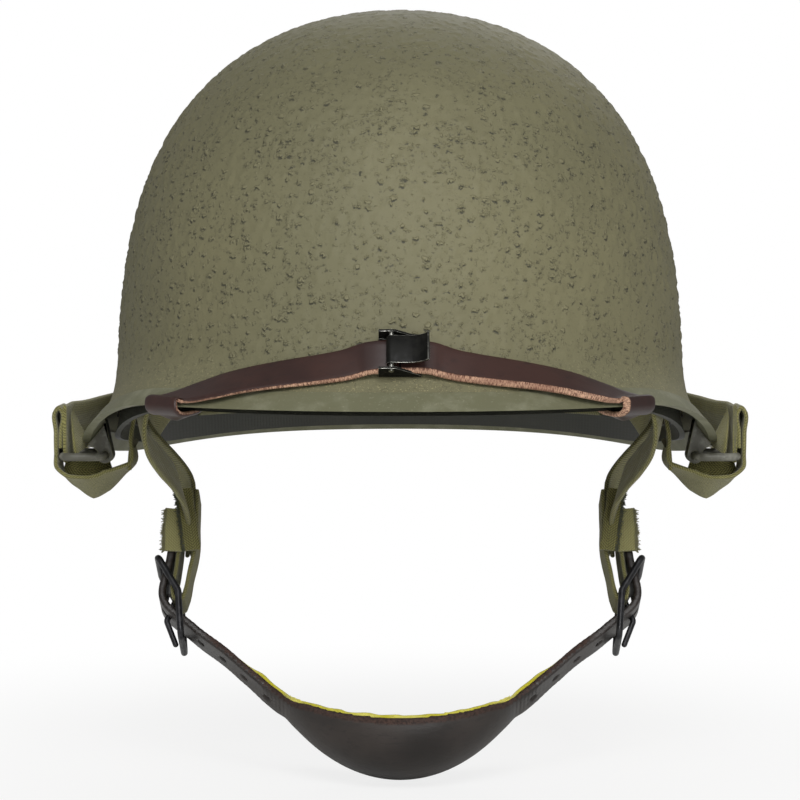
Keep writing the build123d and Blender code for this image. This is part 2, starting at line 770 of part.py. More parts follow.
def rear_web(end_x):
    """The left web: a sewn end that stands up from the bail, and the web that leaves it towards the back."""
    outer_x = bail_bar_x - bar_wrap
    back = Vector(0, 1, 0)
    foot = Vector(outer_x, bail_y, bail_z + bail_wire_radius)
    end_points = [foot, foot + up * (0.4 * rear_web_width), foot + up * (0.8 * rear_web_width)]
    sewn_end = strap(route(end_points, [back] * 3), rear_web_width, web_thickness)
    inner_x = outer_x + 0.8 * web_thickness
    level = rear_centre.Z
    points = [Vector(inner_x, bail_y - 0.45 * rear_web_width, level),
              Vector(inner_x, bail_y, level),
              Vector(inner_x, bail_y + 0.5 * rear_web_width, level)]
    acrosses = [up * -1] * 3
    for share in rear_angle_shares:
        angle = math.pi - share * math.pi / 2
        centre, across, out = laid(angle, rear_web_height, web_offset, rear_web_width)
        points.append(centre)
        acrosses.append(across * -1)
    points.append(Vector(end_x, rear_centre.Y, rear_centre.Z))
    acrosses.append(rear_across * -1)
    web = strap(route(points, acrosses, 4), rear_web_width, web_thickness)
    return whole(sewn_end + web)


hook_reach = slider_length * 0.36
parts["left_web_chinstrap"] = rear_web(-hook_reach - web_thickness)
parts["right_web_chinstrap"] = mirrored(rear_web(-hook_reach - 2 * web_thickness))


# Rear hook and slider: the two webs are joined behind the shell.
slider_out = rest_gap + slider_wire_radius
slider_high = rear_web_width / 2 + slider_wire_radius + rest_gap


def rear_slider():
    """A wire rectangle with a middle bar."""
    corners = [(hook_reach, -slider_high, slider_out), (hook_reach, slider_high, slider_out),
               (hook_reach + slider_length, slider_high, slider_out),
               (hook_reach + slider_length, -slider_high, slider_out)]
    frame = rod(corners, slider_wire_radius, 2 * slider_wire_radius, close=True)
    foot = (hook_reach + slider_length / 2, -slider_high, slider_out)
    bar = extrude(Plane(foot, z_dir=(0, 1, 0)) * Circle(slider_wire_radius), amount=2 * slider_high)
    return whole(frame + bar)


def rear_hook():
    """A steel plate on the left web, its end curled round the slider's near bar."""
    middle = rest_gap + hook_wall / 2
    curl = slider_wire_radius + rest_gap / 2 + hook_wall / 2
    raised = slider_out + curl
    line = [(hook_reach - hook_length, middle), (hook_reach - 0.7 * hook_length, middle),
            (hook_reach - 0.45 * hook_length, middle + hook_wall / 2),
            (hook_reach - curl, raised - curl * 0.2),
            (hook_reach, raised), (hook_reach + curl * 0.71, slider_out + curl * 0.71),
            (hook_reach + curl, slider_out), (hook_reach + curl * 0.9, slider_out - curl * 0.45)]
    return ribbon(line, hook_wall, 0.8 * rear_web_width)


parts["rear_slider"] = rear_place * rear_slider()
parts["rear_hook"] = whole(rear_place * rear_hook())


# Snap tabs: a short web from each bail up inside the liner, pressed onto a snap socket there.
tab_y = bail_y - web_thickness
tab_height = 0.8 * seat_above_rim
tab_angle = angle_at(tab_y, tab_height, liner_inside, liner_brim)
tab_wall, tab_out, tab_side, tab_rise = skin_frame(tab_angle, tab_height, liner_inside, liner_brim)
neck_radius = 0.3 * snap_radius
tab_depth = snap_height + rest_gap + web_thickness / 2
tab_seat = tab_wall - tab_out * tab_depth


def snap_socket():
    """A cup riveted to the liner wall, open inwards."""
    cup = post(tab_wall, tab_out, snap_radius, -snap_height, -rest_gap)
    cup = cup - post(tab_wall, tab_out, neck_radius + rest_gap, -snap_height, -snap_height / 2)
    outer = liner_wall + head_stand
    shank = post(tab_wall, tab_out, rivet_shank_radius, -snap_height / 2, outer)
    head = post(tab_wall, tab_out, rivet_head_radius, outer, outer + rivet_head_height)
    return whole(cup + shank + head)


def snap_stud():
    """A button on the tab, its neck through the web and into the socket."""
    under = tab_depth + web_thickness / 2 + rest_gap
    cap = post(tab_wall, tab_out, snap_radius, -under - snap_height, -under)
    neck = post(tab_wall, tab_out, neck_radius, -under, -snap_height / 2 - rest_gap)
    return whole(cap + neck)


def snap_tab():
    """The web from the bail's outer bar, sagging under the rim and up to the socket."""
    outer_x = bail_bar_x - bar_wrap
    low = bail_z - 0.62 * rear_web_width
    flat_end = tab_seat - tab_rise * (1.6 * snap_radius)
    flat_start = tab_seat - tab_rise * (1.15 * snap_radius)
    tip = tab_seat + tab_rise * (0.8 * snap_radius)
    points = [Vector(outer_x, bail_y, bail_z - bail_wire_radius),
              Vector(outer_x, bail_y, bail_z - 0.3 * rear_web_width),
              Vector(bail_bar_x + 0.35 * bail_reach, bail_y, low),
              Vector(-bail_hinge_x + 0.1 * bail_reach, tab_y, low + 0.16 * rear_web_width),
              Vector(flat_end.X - 0.1 * bail_reach, tab_y, (low + flat_end.Z) / 2),
              flat_end, flat_start, tab_seat, tip]
    back = Vector(0, 1, 0)
    tilted = back * 0.8 - up * 0.45
    flat = tab_side * math.copysign(1, tab_side.Y)
    acrosses = [back, back, tilted, tilted, back * 0.95 - up * 0.2, flat, flat, flat, flat]
    web = strap(route(points, acrosses, 4), tab_width, web_thickness)
    return web - post(tab_wall, tab_out, neck_radius + shank_fit, -3 * tab_depth, 0)


web_tab = whole(snap_tab())
socket = snap_socket()
stud = snap_stud()
socket_bore = post(tab_wall, tab_out, rivet_shank_radius + shank_fit,
                   -liner_wall / 2, liner_wall + liner_gap / 2)
liner = liner - socket_bore - mirrored(socket_bore)
parts["left_snap_tab"] = web_tab
parts["right_snap_tab"] = mirrored(web_tab)
parts["snap_sockets"] = Compound([socket, mirrored(socket)])
parts["left_snap_stud"] = stud
parts["right_snap_stud"] = mirrored(stud)


# Liner chinstrap: two leather halves, from a stud inside the liner, round the rim and over the visor.
# The visor is hollow up its slope, so the strap and the clip bridge it and stand off at their middles.
leather_start = math.radians(229)
leather_rise = 17.5
climb_power_share = 0.7
edging_end_share = 0.32
lift_start_share = 0.78
lift_run_share = 0.12
leather_shares = [0.04, 0.1, 0.18, 0.28, 0.38, 0.48, 0.58, 0.68, 0.78, 0.82, 0.86, 0.9, 1]
clip_angle = 3 * math.pi / 2
clip_height = shell_brim.height(-shell_front - visor_flare) + leather_rise - leather_thickness / 2
clip_base, clip_normal, clip_side, clip_rise = skin_frame(clip_angle, clip_height, 0, shell_brim)
clip_place = Plane(clip_base, x_dir=(1, 0, 0), z_dir=clip_normal)
flange_side = leather_width / 2 + rest_gap + clip_plate_wall


def visor_bow(half_width):
    """How far the visor rises towards the edges of something flat at the clip's place."""
    climbs = [clip_height + way * half_width * clip_rise.Z for way in (-1, 1)]
    edges = [skin_point(clip_angle, climb, 0, shell_brim) - clip_base for climb in climbs]
    return max(edge.dot(clip_normal) for edge in edges)


plate_low = visor_bow(flange_side) + rest_gap
leather_standoff = visor_bow(leather_width / 2) + rest_gap + edging_fit
leather_seat = plate_low + clip_plate_wall + rest_gap + edging_fit
clip_lift = leather_seat - leather_standoff


def leather_station(share):
    """Centre and outward direction of the strap, from the rim (0) to the middle of the visor (1)."""
    angle = leather_start + (clip_angle - leather_start) * share
    rim_y = skin_point(angle, seat_above_rim, 0, shell_brim).Y
    edge = shell_brim.height(rim_y)
    height = edge + (clip_height - edge) * math.sin(share * math.pi / 2) ** climb_power_share
    past_rim = ease((share - edging_end_share) / edging_end_share)
    over_edging = (edging_wall + edging_fit + 2 * rest_gap) * (1 - past_rim)
    over_plate = clip_lift * ease((share - lift_start_share) / lift_run_share)
    stand = leather_standoff + over_edging + over_plate + leather_thickness / 2
    here, out, side, rise = skin_frame(angle, height, 0, shell_brim)
    return here + out * stand, out


stud_y_share = 0.7
stud_height_place = seat_above_rim + 1.3 * stud_radius
stud_angle = angle_at(-shell_front * stud_y_share, stud_height_place, liner_inside, liner_brim)
stud_wall, stud_out = skin_frame(stud_angle, stud_height_place, liner_inside, liner_brim)[:2]
end_clip_wall = 1.0
end_clip_out = 2 * rest_gap
rim_turn = edging_wall + edging_fit + rest_gap + leather_thickness / 2
rim_height = shell_brim.height(shell_front * math.sin(leather_start))
rim_out = skin_point(leather_start, rim_height, 0, shell_brim)
rim_radial = Vector(rim_out.X, rim_out.Y, 0).normalized()
rim_under = rim_out - up * (2 * rim_turn + liner_wall) - rim_radial * (liner_inset + liner_wall / 2)
stud_pull = rim_under - stud_wall
stud_pull = (stud_pull - stud_out * stud_pull.dot(stud_out)).normalized()
stud_across = stud_out.cross(stud_pull)


def leather_half():
    """The left half: inside the liner, under both rims, then over the visor to the clip."""
    lift = end_clip_out + end_clip_wall + rest_gap + leather_thickness / 2
    start = stud_wall - stud_out * lift
    outside, outside_normal = leather_station(0)
    points = [start + stud_pull * (0.5 * end_clip_length),
              start + stud_pull * (0.95 * end_clip_length),
              rim_under,
              rim_out - up * (1.6 * rim_turn) + rim_radial * (0.6 * rim_turn),
              outside - up * (0.3 * leather_thickness) + rim_radial * (0.25 * rim_turn)]
    under = up * -1 - rim_radial * 0.4
    normals = [stud_out * -1, stud_out * -1, under, rim_radial - up, outside_normal]
    for share in leather_shares:
        centre, out = leather_station(share)
        points.append(centre)
        normals.append(out)
    points[-1] = points[-1] - Vector(rest_gap, 0, 0)
    acrosses = []
    for place, normal in enumerate(normals):
        travel = points[min(place + 1, len(points) - 1)] - points[max(place - 1, 0)]
        acrosses.append(normal.cross(travel).normalized())
    return strap(route(points, acrosses, 3), leather_width, leather_thickness)


leather = leather_half()
parts["left_liner_chinstrap"] = leather
parts["right_liner_chinstrap"] = mirrored(leather)


def garter_stud():
    """A flat-headed stud riveted through the liner."""
    outer = liner_wall + head_stand
    inside = -end_clip_out - end_clip_wall - rest_gap
    neck = post(stud_wall, stud_out, rivet_shank_radius, inside, outer)
    head = post(stud_wall, stud_out, stud_radius, inside - stud_height, inside)
    cap = post(stud_wall, stud_out, rivet_head_radius, outer, outer + rivet_head_height)
    return whole(neck + head + cap)


def end_clip():
    """A drop-shaped plate with a hole that hangs on the stud, riveted to the strap's end."""
    reach = 0.75 * end_clip_length
    low = stud_wall + stud_pull * reach
    inside = -end_clip_out - end_clip_wall
    plate = post(stud_wall, stud_out, end_clip_width / 2, inside, -end_clip_out)
    foot = post(low, stud_out, end_clip_width / 3, inside, -end_clip_out)
    middle = Plane((stud_wall + low) * 0.5 + stud_out * inside, x_dir=stud_across, z_dir=stud_out)
    bridge = extrude(middle * Rectangle(end_clip_width * 2 / 3, reach), amount=end_clip_wall)
    hole = post(stud_wall, stud_out, rivet_shank_radius + shank_fit, 2 * inside, 0)
    return whole(plate + foot + bridge - hole)


stud_bore = post(stud_wall, stud_out, rivet_shank_radius + shank_fit,
                 -liner_wall / 2, liner_wall + liner_gap / 2)
liner = liner - stud_bore - mirrored(stud_bore)
garter = garter_stud()
drop_clip = end_clip()
parts["garter_studs"] = Compound([garter, mirrored(garter)])
parts["strap_end_clips"] = Compound([drop_clip, mirrored(drop_clip)])


# Cam clip that joins the two leather halves at the middle of the visor.
pin_x = clip_plate_length * (lever_pin_place_share - 0.5)
knuckle_radius = lever_pin_radius + hinge_fit + clip_plate_wall
pin_z = leather_seat + leather_thickness + rest_gap + knuckle_radius
flange_top = pin_z + 1.8 * lever_pin_radius


def clip_frame():
    """A folded steel channel: a back plate under the strap and two tapered flanges."""
    half = clip_plate_length / 2
    back = Box(clip_plate_length, 2 * flange_side, clip_plate_wall)
    back = Pos(0, 0, plate_low + clip_plate_wall / 2) * back
    outline = Polyline((-half, plate_low), (half, plate_low), (half, plate_low + 1.2 * clip_plate_wall),
                       (pin_x + 1.5 * lever_pin_radius, flange_top), (-half, flange_top), close=True)
    flange = extrude(Plane.XZ * make_face(outline), amount=clip_plate_wall)
    near = Pos(0, flange_side, 0) * flange
    far = Pos(0, -flange_side + clip_plate_wall, 0) * flange
    bore_plane = Plane((pin_x, -2 * flange_side, pin_z), z_dir=(0, 1, 0))
    bore = extrude(bore_plane * Circle(lever_pin_radius + hinge_fit / 2), amount=4 * flange_side)
    return whole(back + near + far - bore)


def lever_pin():
    start = Plane((pin_x, -flange_side - clip_plate_wall / 2, pin_z), z_dir=(0, 1, 0))
    return extrude(start * Circle(lever_pin_radius), amount=2 * flange_side + clip_plate_wall)


def clip_lever():
    """A plate rolled round the pin at one end and curled outwards at its thumb end."""
    start = Plane((pin_x, -lever_width / 2, pin_z), z_dir=(0, 1, 0))
    knuckle = extrude(start * Circle(knuckle_radius), amount=lever_width)
    level = pin_z + knuckle_radius - clip_plate_wall / 2
    line = [(pin_x, level), (pin_x + 0.4 * lever_length, level - clip_plate_wall / 3),
            (pin_x + 0.75 * lever_length, level + 0.7 * clip_plate_wall),
            (pin_x + lever_length, level + 3.6 * clip_plate_wall)]
    plate = ribbon(line, clip_plate_wall, lever_width)
    bore = extrude(start * Circle(lever_pin_radius + hinge_fit), amount=lever_width)
    return whole(knuckle + plate - bore)


parts["clip_frame"] = clip_place * clip_frame()
parts["clip_lever_pin"] = clip_place * lever_pin()
parts["clip_lever"] = clip_place * clip_lever()
parts["liner_shell"] = whole(liner)

os.makedirs("parts", exist_ok=True)
for name, shape in parts.items():
    export_step(shape, "parts/" + name + ".step")
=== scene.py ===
import math
import random
from collections import namedtuple

import bpy
from mathutils import Matrix, Vector, noise


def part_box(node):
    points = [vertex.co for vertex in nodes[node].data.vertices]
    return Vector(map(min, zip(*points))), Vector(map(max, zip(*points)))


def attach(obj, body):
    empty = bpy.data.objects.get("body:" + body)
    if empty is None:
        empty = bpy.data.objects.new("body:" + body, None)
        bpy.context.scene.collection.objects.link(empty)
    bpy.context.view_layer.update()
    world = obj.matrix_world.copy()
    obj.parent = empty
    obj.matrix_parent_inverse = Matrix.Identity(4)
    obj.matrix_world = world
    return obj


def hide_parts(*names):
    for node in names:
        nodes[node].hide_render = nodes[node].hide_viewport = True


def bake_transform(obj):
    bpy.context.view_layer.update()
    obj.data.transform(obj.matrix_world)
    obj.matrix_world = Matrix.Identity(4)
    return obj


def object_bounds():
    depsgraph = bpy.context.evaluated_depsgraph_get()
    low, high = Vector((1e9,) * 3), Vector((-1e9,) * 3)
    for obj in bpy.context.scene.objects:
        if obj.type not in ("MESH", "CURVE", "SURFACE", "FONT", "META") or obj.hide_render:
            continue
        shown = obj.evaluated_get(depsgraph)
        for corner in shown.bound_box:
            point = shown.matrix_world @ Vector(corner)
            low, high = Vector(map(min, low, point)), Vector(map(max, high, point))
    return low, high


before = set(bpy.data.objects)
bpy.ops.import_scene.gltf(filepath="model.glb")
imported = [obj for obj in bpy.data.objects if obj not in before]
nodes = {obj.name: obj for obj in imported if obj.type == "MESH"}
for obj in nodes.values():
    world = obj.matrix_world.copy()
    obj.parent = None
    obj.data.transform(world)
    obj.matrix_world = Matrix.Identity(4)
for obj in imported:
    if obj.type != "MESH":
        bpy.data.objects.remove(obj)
cad_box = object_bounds()


# Steel shell: one sheet of steel pressed into a deep dome, with a flared visor and brim.
# It is painted matt olive with ground cork in the paint, which stands up in small crooked grains
# that are coarse at mid height, fine towards the crown and nearly gone at the brim.
# Sizes are in mm, and heights on the dome count from the rim's lowest point.
MM = 0.001
UP = Vector((0, 0, 1))
SHELL_SIDE, SHELL_FRONT, SHELL_REAR, SHELL_CROWN = 109.0, 118.5, 125.0, 173.0
SHELL_WALL = 1.12
SEAM_GAP = 0.002
CROWN_POWER, SIDE_POWER = 3.3, 2.1
SEAT_ABOVE_RIM = 26.0
FLARE_RUN = 14.0
EAR_PLACE, TEMPLE_START, TEMPLE_RUN, NAPE_RUN = 60.0, 15.0, 115.0, 78.0
SHELL_MEAN_LENGTH = 122.0
UPRIGHT_BELOW = 60.0
CORK_HEIGHT, CORK_PITCH = 0.5, 2.6
CORK_FROM, CORK_FULL, CORK_THINS_FROM, CORK_THIN = 24, 50, 110, 170
Brim = namedtuple("Brim", "visor_flare side_flare nape_flare base temple_rise visor_rise nape_rise")
SHELL_BRIM = Brim(visor_flare=22.0, side_flare=12.0, nape_flare=13.0, base=0.0,
                  temple_rise=5.0, visor_rise=22.0, nape_rise=4.0)


def ease(value, start=0.0, end=1.0):
    """Goes softly from 0 to 1 as the value passes from start to end."""
    share = min(max((value - start) / (end - start), 0), 1)
    return share * share * (3 - 2 * share)


def edge_height(y, brim):
    """Height of a skin's lower edge above the rim's lowest point, at a place along the helmet."""
    height = brim.base + brim.temple_rise * ease(y, EAR_PLACE, 0)
    height += brim.visor_rise * ease(y, TEMPLE_START, TEMPLE_START - TEMPLE_RUN)
    return height + brim.nape_rise * ease(y, EAR_PLACE, EAR_PLACE + NAPE_RUN)


def skin(angle, height, inset, brim):
    """A point of the dome in mm. The angle runs from the right-hand side towards the rear."""
    across, along = math.cos(angle), math.sin(angle)
    side = SHELL_SIDE - inset
    length = (SHELL_FRONT if along < 0 else SHELL_REAR) - inset
    full = max(1 - (max(height, 0) / (SHELL_CROWN - inset)) ** CROWN_POWER, 0) ** (1 / SIDE_POWER)
    end_flare = brim.visor_flare if along < 0 else brim.nape_flare
    reach = brim.side_flare + (end_flare - brim.side_flare) * along * along
    growth = math.exp(2 * (height - edge_height((length + reach) * along, brim)) / FLARE_RUN)
    flare = 2 * reach / (1 + growth)
    slope = 2 * flare * growth / (1 + growth) / FLARE_RUN
    flare -= inset * (math.hypot(1, slope) - 1)
    return Vector(((side * full + flare) * across, (length * full + flare) * along,
                   height - SEAT_ABOVE_RIM))


def rim_height(angle, inset, brim):
    """Height of a skin's lower edge at an angle, found in a few steps because the flare moves it."""
    height = 10.0
    for _ in range(6):
        height = edge_height(skin(angle, height, inset, brim).y, brim)
    return height


def deselect():
    if bpy.context.mode != "OBJECT":
        bpy.ops.object.mode_set(mode="OBJECT")
    bpy.ops.object.select_all(action="DESELECT")


def pick(piece):
    deselect()
    piece.select_set(True)
    bpy.context.view_layer.objects.active = piece


def edit_all(piece):
    """Opens a piece in edit mode with all of it selected."""
    pick(piece)
    bpy.ops.object.mode_set(mode="EDIT")
    bpy.ops.mesh.select_all(action="SELECT")


def select_open_edges():
    bpy.ops.mesh.select_all(action="DESELECT")
    bpy.ops.mesh.select_non_manifold(extend=False, use_wire=False, use_multi_face=False,
                                     use_non_contiguous=False, use_verts=False)


def grid(name, columns, rows):
    """A flat grid with its two counts, to be bent: returns the object."""
    deselect()
    bpy.ops.mesh.primitive_grid_add(x_subdivisions=columns, y_subdivisions=rows, size=1, calc_uvs=True)
    piece = bpy.context.object
    piece.name = piece.data.name = name
    return piece


def close_seams(piece, cap=False):
    """Merges doubled points, closes open ends if asked, and turns the faces outwards."""
    edit_all(piece)
    bpy.ops.mesh.remove_doubles(threshold=SEAM_GAP * MM)
    if cap:
        select_open_edges()
        bpy.ops.mesh.edge_face_add()
        bpy.ops.mesh.select_all(action="SELECT")
    bpy.ops.mesh.normals_make_consistent(inside=False)
    bpy.ops.object.mode_set(mode="OBJECT")


def turn_inside_out(piece):
    edit_all(piece)
    bpy.ops.mesh.flip_normals()
    bpy.ops.object.mode_set(mode="OBJECT")


def joined(name, pieces):
    """Several pieces as one object."""
    pick(pieces[0])
    for piece in pieces[1:]:
        piece.select_set(True)
    bpy.ops.object.join()
    piece = bpy.context.object
    piece.name = piece.data.name = name
    return piece


def smooth(piece, degrees):
    """Shades a piece smooth, with its edges sharp where faces meet at more than an angle."""
    pick(piece)
    bpy.ops.object.shade_smooth_by_angle(angle=math.radians(degrees))


def grain_share(height):
    """How strongly the cork stands up: none at the brim, most at mid height, less at the crown."""
    return ease(height, CORK_FROM, CORK_FULL) * (1 - 0.45 * ease(height, CORK_THINS_FROM, CORK_THIN))


def dome(name, columns, rows, inset, grain):
    """A skin of the shell as a grid from its rim to the crown, with cork grains of a height on it."""
    piece = grid(name, columns, rows)
    crown = SHELL_CROWN - inset
    rims = {}
    for point in piece.data.vertices:
        column = round((point.co.x + 0.5) * columns) % columns
        angle = 2 * math.pi * column / columns
        if column not in rims:
            rims[column] = rim_height(angle, inset, SHELL_BRIM)
        start = math.asin(rims[column] / crown)
        height = crown * math.sin(start + (math.pi / 2 - start) * (point.co.y + 0.5))
        place = skin(angle, height, inset, SHELL_BRIM)
        if grain:
            lump = ease(noise.noise(place / CORK_PITCH), 0.12, 0.42) * grain_share(height)
            out = Vector((place.x / SHELL_SIDE, place.y / SHELL_MEAN_LENGTH,
                          max(height - UPRIGHT_BELOW, 0) / (SHELL_CROWN - UPRIGHT_BELOW)))
            place += out.normalized() * (grain * lump)
        point.co = place * MM
    return piece


shell_outside = dome("shell", 560, 160, 0.0, CORK_HEIGHT)
shell_inside = dome("shell_inside", 108, 36, SHELL_WALL, 0)
close_seams(shell_outside)
close_seams(shell_inside)
turn_inside_out(shell_inside)
shell = joined("shell", [shell_outside, shell_inside])
edit_all(shell)
select_open_edges()
bpy.ops.mesh.bridge_edge_loops()
bpy.ops.object.mode_set(mode="OBJECT")
smooth(shell, 60)


def hex_colour(text):
    """An sRGB hex colour as the linear colour that a shader takes."""
    parts = [int(text[place:place + 2], 16) / 255 for place in (0, 2, 4)]
    return [part / 12.92 if part <= 0.04045 else ((part + 0.055) / 1.055) ** 2.4 for part in parts] + [1]


def add(tree, kind, inputs, output=0, **settings):
    """Adds a shader node with its settings, sets or links its inputs, which are given in order or by
    name, and returns one of its outputs. Map Range takes a value, from and to where it runs, and what
    it gives at these."""
    made = tree.nodes.new("ShaderNode" + kind)
    for name, value in settings.items():
        setattr(made, name, value)
    for name, value in inputs.items() if isinstance(inputs, dict) else enumerate(inputs):
        if isinstance(value, bpy.types.NodeSocket):
            tree.links.new(value, made.inputs[name])
        else:
            made.inputs[name].default_value = value
    return made.outputs[output]


def new_material(name, **principled):
    """A material with its Principled shader's values: returns it, its tree and its coordinates."""
    material = bpy.data.materials.new(name)
    material.use_nodes = True
    tree = material.node_tree
    for socket, value in principled.items():
        tree.nodes["Principled BSDF"].inputs[socket.replace("_", " ")].default_value = value
    return material, tree, add(tree, "TexCoord", [], "Object")


def faded(tree, value, guide, start, end, low=0.0, high=1.0):
    """A value times a share that goes softly from low to high as a guide passes from start to end."""
    share = add(tree, "MapRange", [guide, start, end, low, high], interpolation_type="SMOOTHSTEP")
    return add(tree, "Math", [value, share], operation="MULTIPLY")


def layer(tree, under, over, pattern, start=None, end=None, low=0.0, high=1.0):
    """One colour over another by a pattern: as it is, or made a soft step from low to high."""
    share = pattern
    if start is not None:
        share = add(tree, "MapRange", [pattern, start, end, low, high], interpolation_type="SMOOTHSTEP")
    colours = [hex_colour(colour) if isinstance(colour, str) else colour for colour in (under, over)]
    return add(tree, "Mix", {"Factor": share, 6: colours[0], 7: colours[1]}, 2, data_type="RGBA")


def finish_surface(tree, colour, relief=None, strength=0.0, depth=0.0, roughness=None):
    """Joins a colour to the shader, and if given a relief, whose depth is in mm, and a roughness."""
    sockets = tree.nodes["Principled BSDF"].inputs
    tree.links.new(colour, sockets["Base Color"])
    if roughness:
        tree.links.new(roughness, sockets["Roughness"])
    if relief:
        bump = add(tree, "Bump", {"Strength": strength, "Distance": depth * MM, "Height": relief})
        tree.links.new(bump, sockets["Normal"])


def paint_on(piece, *materials):
    piece.data.materials.clear()
    for material in materials:
        piece.data.materials.append(material)


# Olive alkyd paint, sprayed matt. The cork grains are 1 to 2.5 mm long and stand about 0.5 mm up.
# A dark line along each grain's lower side is painted shade, and each grain's paler top is a painted
# highlight.
# A pattern's scale counts its cells in a metre: the coarse grains' are 3 mm and the fine 1.7 mm.
cork_paint, tree, place = new_material("cork_textured_enamel", Roughness=0.68, IOR=1.5)
above = add(tree, "VectorMath", [place, (0.0001, -0.0002, 0.0006)], operation="ADD")
height = add(tree, "SeparateXYZ", [place], "Z")


def grains(spot):
    """Height of the cork at a spot: separate crooked grains, coarse ones and finer ones between."""
    bend = add(tree, "TexNoise", {"Vector": spot, "Scale": 700, "Detail": 2}, "Color")
    bent = add(tree, "VectorMath", [bend, (0.004, 0.004, 0.003), spot], operation="MULTIPLY_ADD")
    bent = add(tree, "VectorMath", [bent, (0.75, 0.75, 1.3)], operation="MULTIPLY")
    clusters = add(tree, "TexNoise", {"Vector": spot, "Scale": 70, "Detail": 2})
    sizes = []
    for cells_per_metre, small, large in ((330, 0.2, 0.43), (600, 0.2, 0.46)):
        cell = add(tree, "TexVoronoi", {"Vector": bent, "Scale": cells_per_metre}, "Color")
        size = add(tree, "SeparateColor", [cell])
        size = add(tree, "MapRange", [size, 0.15, 1.0, small, large], interpolation_type="SMOOTHSTEP")
        inside = add(tree, "Math", [size, cell.node.outputs["Distance"]], operation="SUBTRACT")
        sizes.append(add(tree, "MapRange", [inside, 0.0, 0.26], interpolation_type="SMOOTHSTEP"))
    coarse = faded(tree, sizes[0], height, -0.004, 0.024)
    coarse = faded(tree, coarse, height, 0.15, 0.1, 0.5, 1.0)
    fine = faded(tree, sizes[1], height, -0.012, 0.02, 0.15, 0.7)
    fine = faded(tree, fine, clusters, 0.38, 0.6, 0.25, 1.0)
    return add(tree, "Math", [coarse, fine], operation="MAXIMUM")


relief = grains(place)
beneath = add(tree, "Math", [grains(above), relief], operation="SUBTRACT", use_clamp=True)
patches = add(tree, "TexNoise", {"Vector": place, "Scale": 34, "Detail": 2})
broad = add(tree, "TexNoise", {"Vector": place, "Scale": 9, "Detail": 2})
# Painted highlight: the grains' tops are drawn paler. Painted shade: a dark line where a grain stands
# above the spot.
painted_highlight_on_grains = add(tree, "Math", [relief, 0.3], operation="MULTIPLY")
painted_shade_under_grains = add(tree, "Math", [beneath, 1.1], operation="MULTIPLY")
coat = layer(tree, "6c694e", "736f52", broad, 0.35, 0.65)
coat = layer(tree, coat, "625f46", patches, 0.4, 0.75, 0.0, 0.35)
coat = layer(tree, coat, "868162", painted_highlight_on_grains)
coat = layer(tree, coat, "3b3a2c", painted_shade_under_grains)
# Towards the brim there is no cork: the paint is a little paler there, with fine worn flecks.
coat = layer(tree, coat, "7f7d61", height, 0.022, 0.002, 0.0, 0.35)
flecks = add(tree, "TexNoise", {"Vector": place, "Scale": 1500, "Detail": 1})
flecks = add(tree, "MapRange", [flecks, 0.62, 0.69], interpolation_type="SMOOTHSTEP")
coat = layer(tree, coat, "a8a077", faded(tree, flecks, height, 0.022, 0.002, 0.0, 0.7))
finish_surface(tree, coat, relief, 0.9, CORK_HEIGHT)
paint_on(shell, cork_paint)
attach(shell, "steel_shell")
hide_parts("steel_shell")


# Rim edging: a thin steel strip folded over the shell's cut edge and spot welded at the rear.
# It has the same matt paint without cork, a little paler where hands rub it.
smooth_paint, tree, place = new_material("brushed_olive_enamel", Roughness=0.55, IOR=1.5)
rub = add(tree, "TexNoise", {"Vector": place, "Scale": 90, "Detail": 4, "Roughness": 0.6})
speck = add(tree, "TexNoise", {"Vector": place, "Scale": 900, "Detail": 2})
coat = layer(tree, "6b6b52", "7f7f68", rub, 0.42, 0.72)
coat = layer(tree, coat, "93917a", speck, 0.62, 0.72, 0.0, 0.4)
finish_surface(tree, coat, speck, 0.3, 0.1)
paint_on(nodes["rim_edging"], smooth_paint)


# Liner: cotton cloth layers moulded under heat in phenolic resin into a 2 mm thick bowl.
# Its dark grey green is partly painted shade: the olive board is drawn darker to stand for the shade
# inside the shell, and the cloth's weave just shows in it.
liner_board, tree, place = new_material("phenolic_cotton_board", Roughness=0.58, IOR=1.5)
cloud = add(tree, "TexNoise", {"Vector": place, "Scale": 22, "Detail": 3})
threads = [add(tree, "TexWave", {"Vector": place, "Scale": 260, "Distortion": 1.5}, 1, bands_direction=way)
           for way in ("X", "Z")]
cloth = add(tree, "Math", [threads[0], threads[1]], operation="ADD")
finish_surface(tree, layer(tree, "363731", "3e3f38", cloud, 0.35, 0.7), cloth, 0.25, 0.12)
paint_on(nodes["liner_shell"], liner_board)


# Suspension bands: three cotton webs, 19 mm wide, that cross under the crown and spread the load.
# Each is woven in herringbone, its ends turned up and riveted flat to the liner's wall.
LINER_BRIM = Brim(visor_flare=20.0, side_flare=3.5, nape_flare=8.0, base=3.0,
                  temple_rise=4.0, visor_rise=17.5, nape_rise=3.0)
LINER_GAP, LINER_WALL = 1.4, 2.0
LINER_INSIDE = SHELL_WALL + LINER_GAP + LINER_WALL
REST = 0.3
WEB_WIDTH, WEB_THICK = 19.0, 1.6
WEB_SEAT = REST + WEB_WIDTH ** 2 / (8 * SHELL_SIDE)
BAND_RIVET_HEIGHT, BAND_TURN_HEIGHT, BAND_STANDOFF = 37.0, 61.0, 16.0
CROWN_CLEARANCE = 24.0
CROSSING_PITCH = WEB_THICK + 2.2 * REST
WASHER_HEIGHT = 17.0
TURN_STEPS, CLIMB_STEPS = 8, 14
FRAME_STEP = 0.004
SECTION_FLATS = 8
SWAY_RUN, SWAY_ACROSS, EDGE_RUN = 9, 14, 5


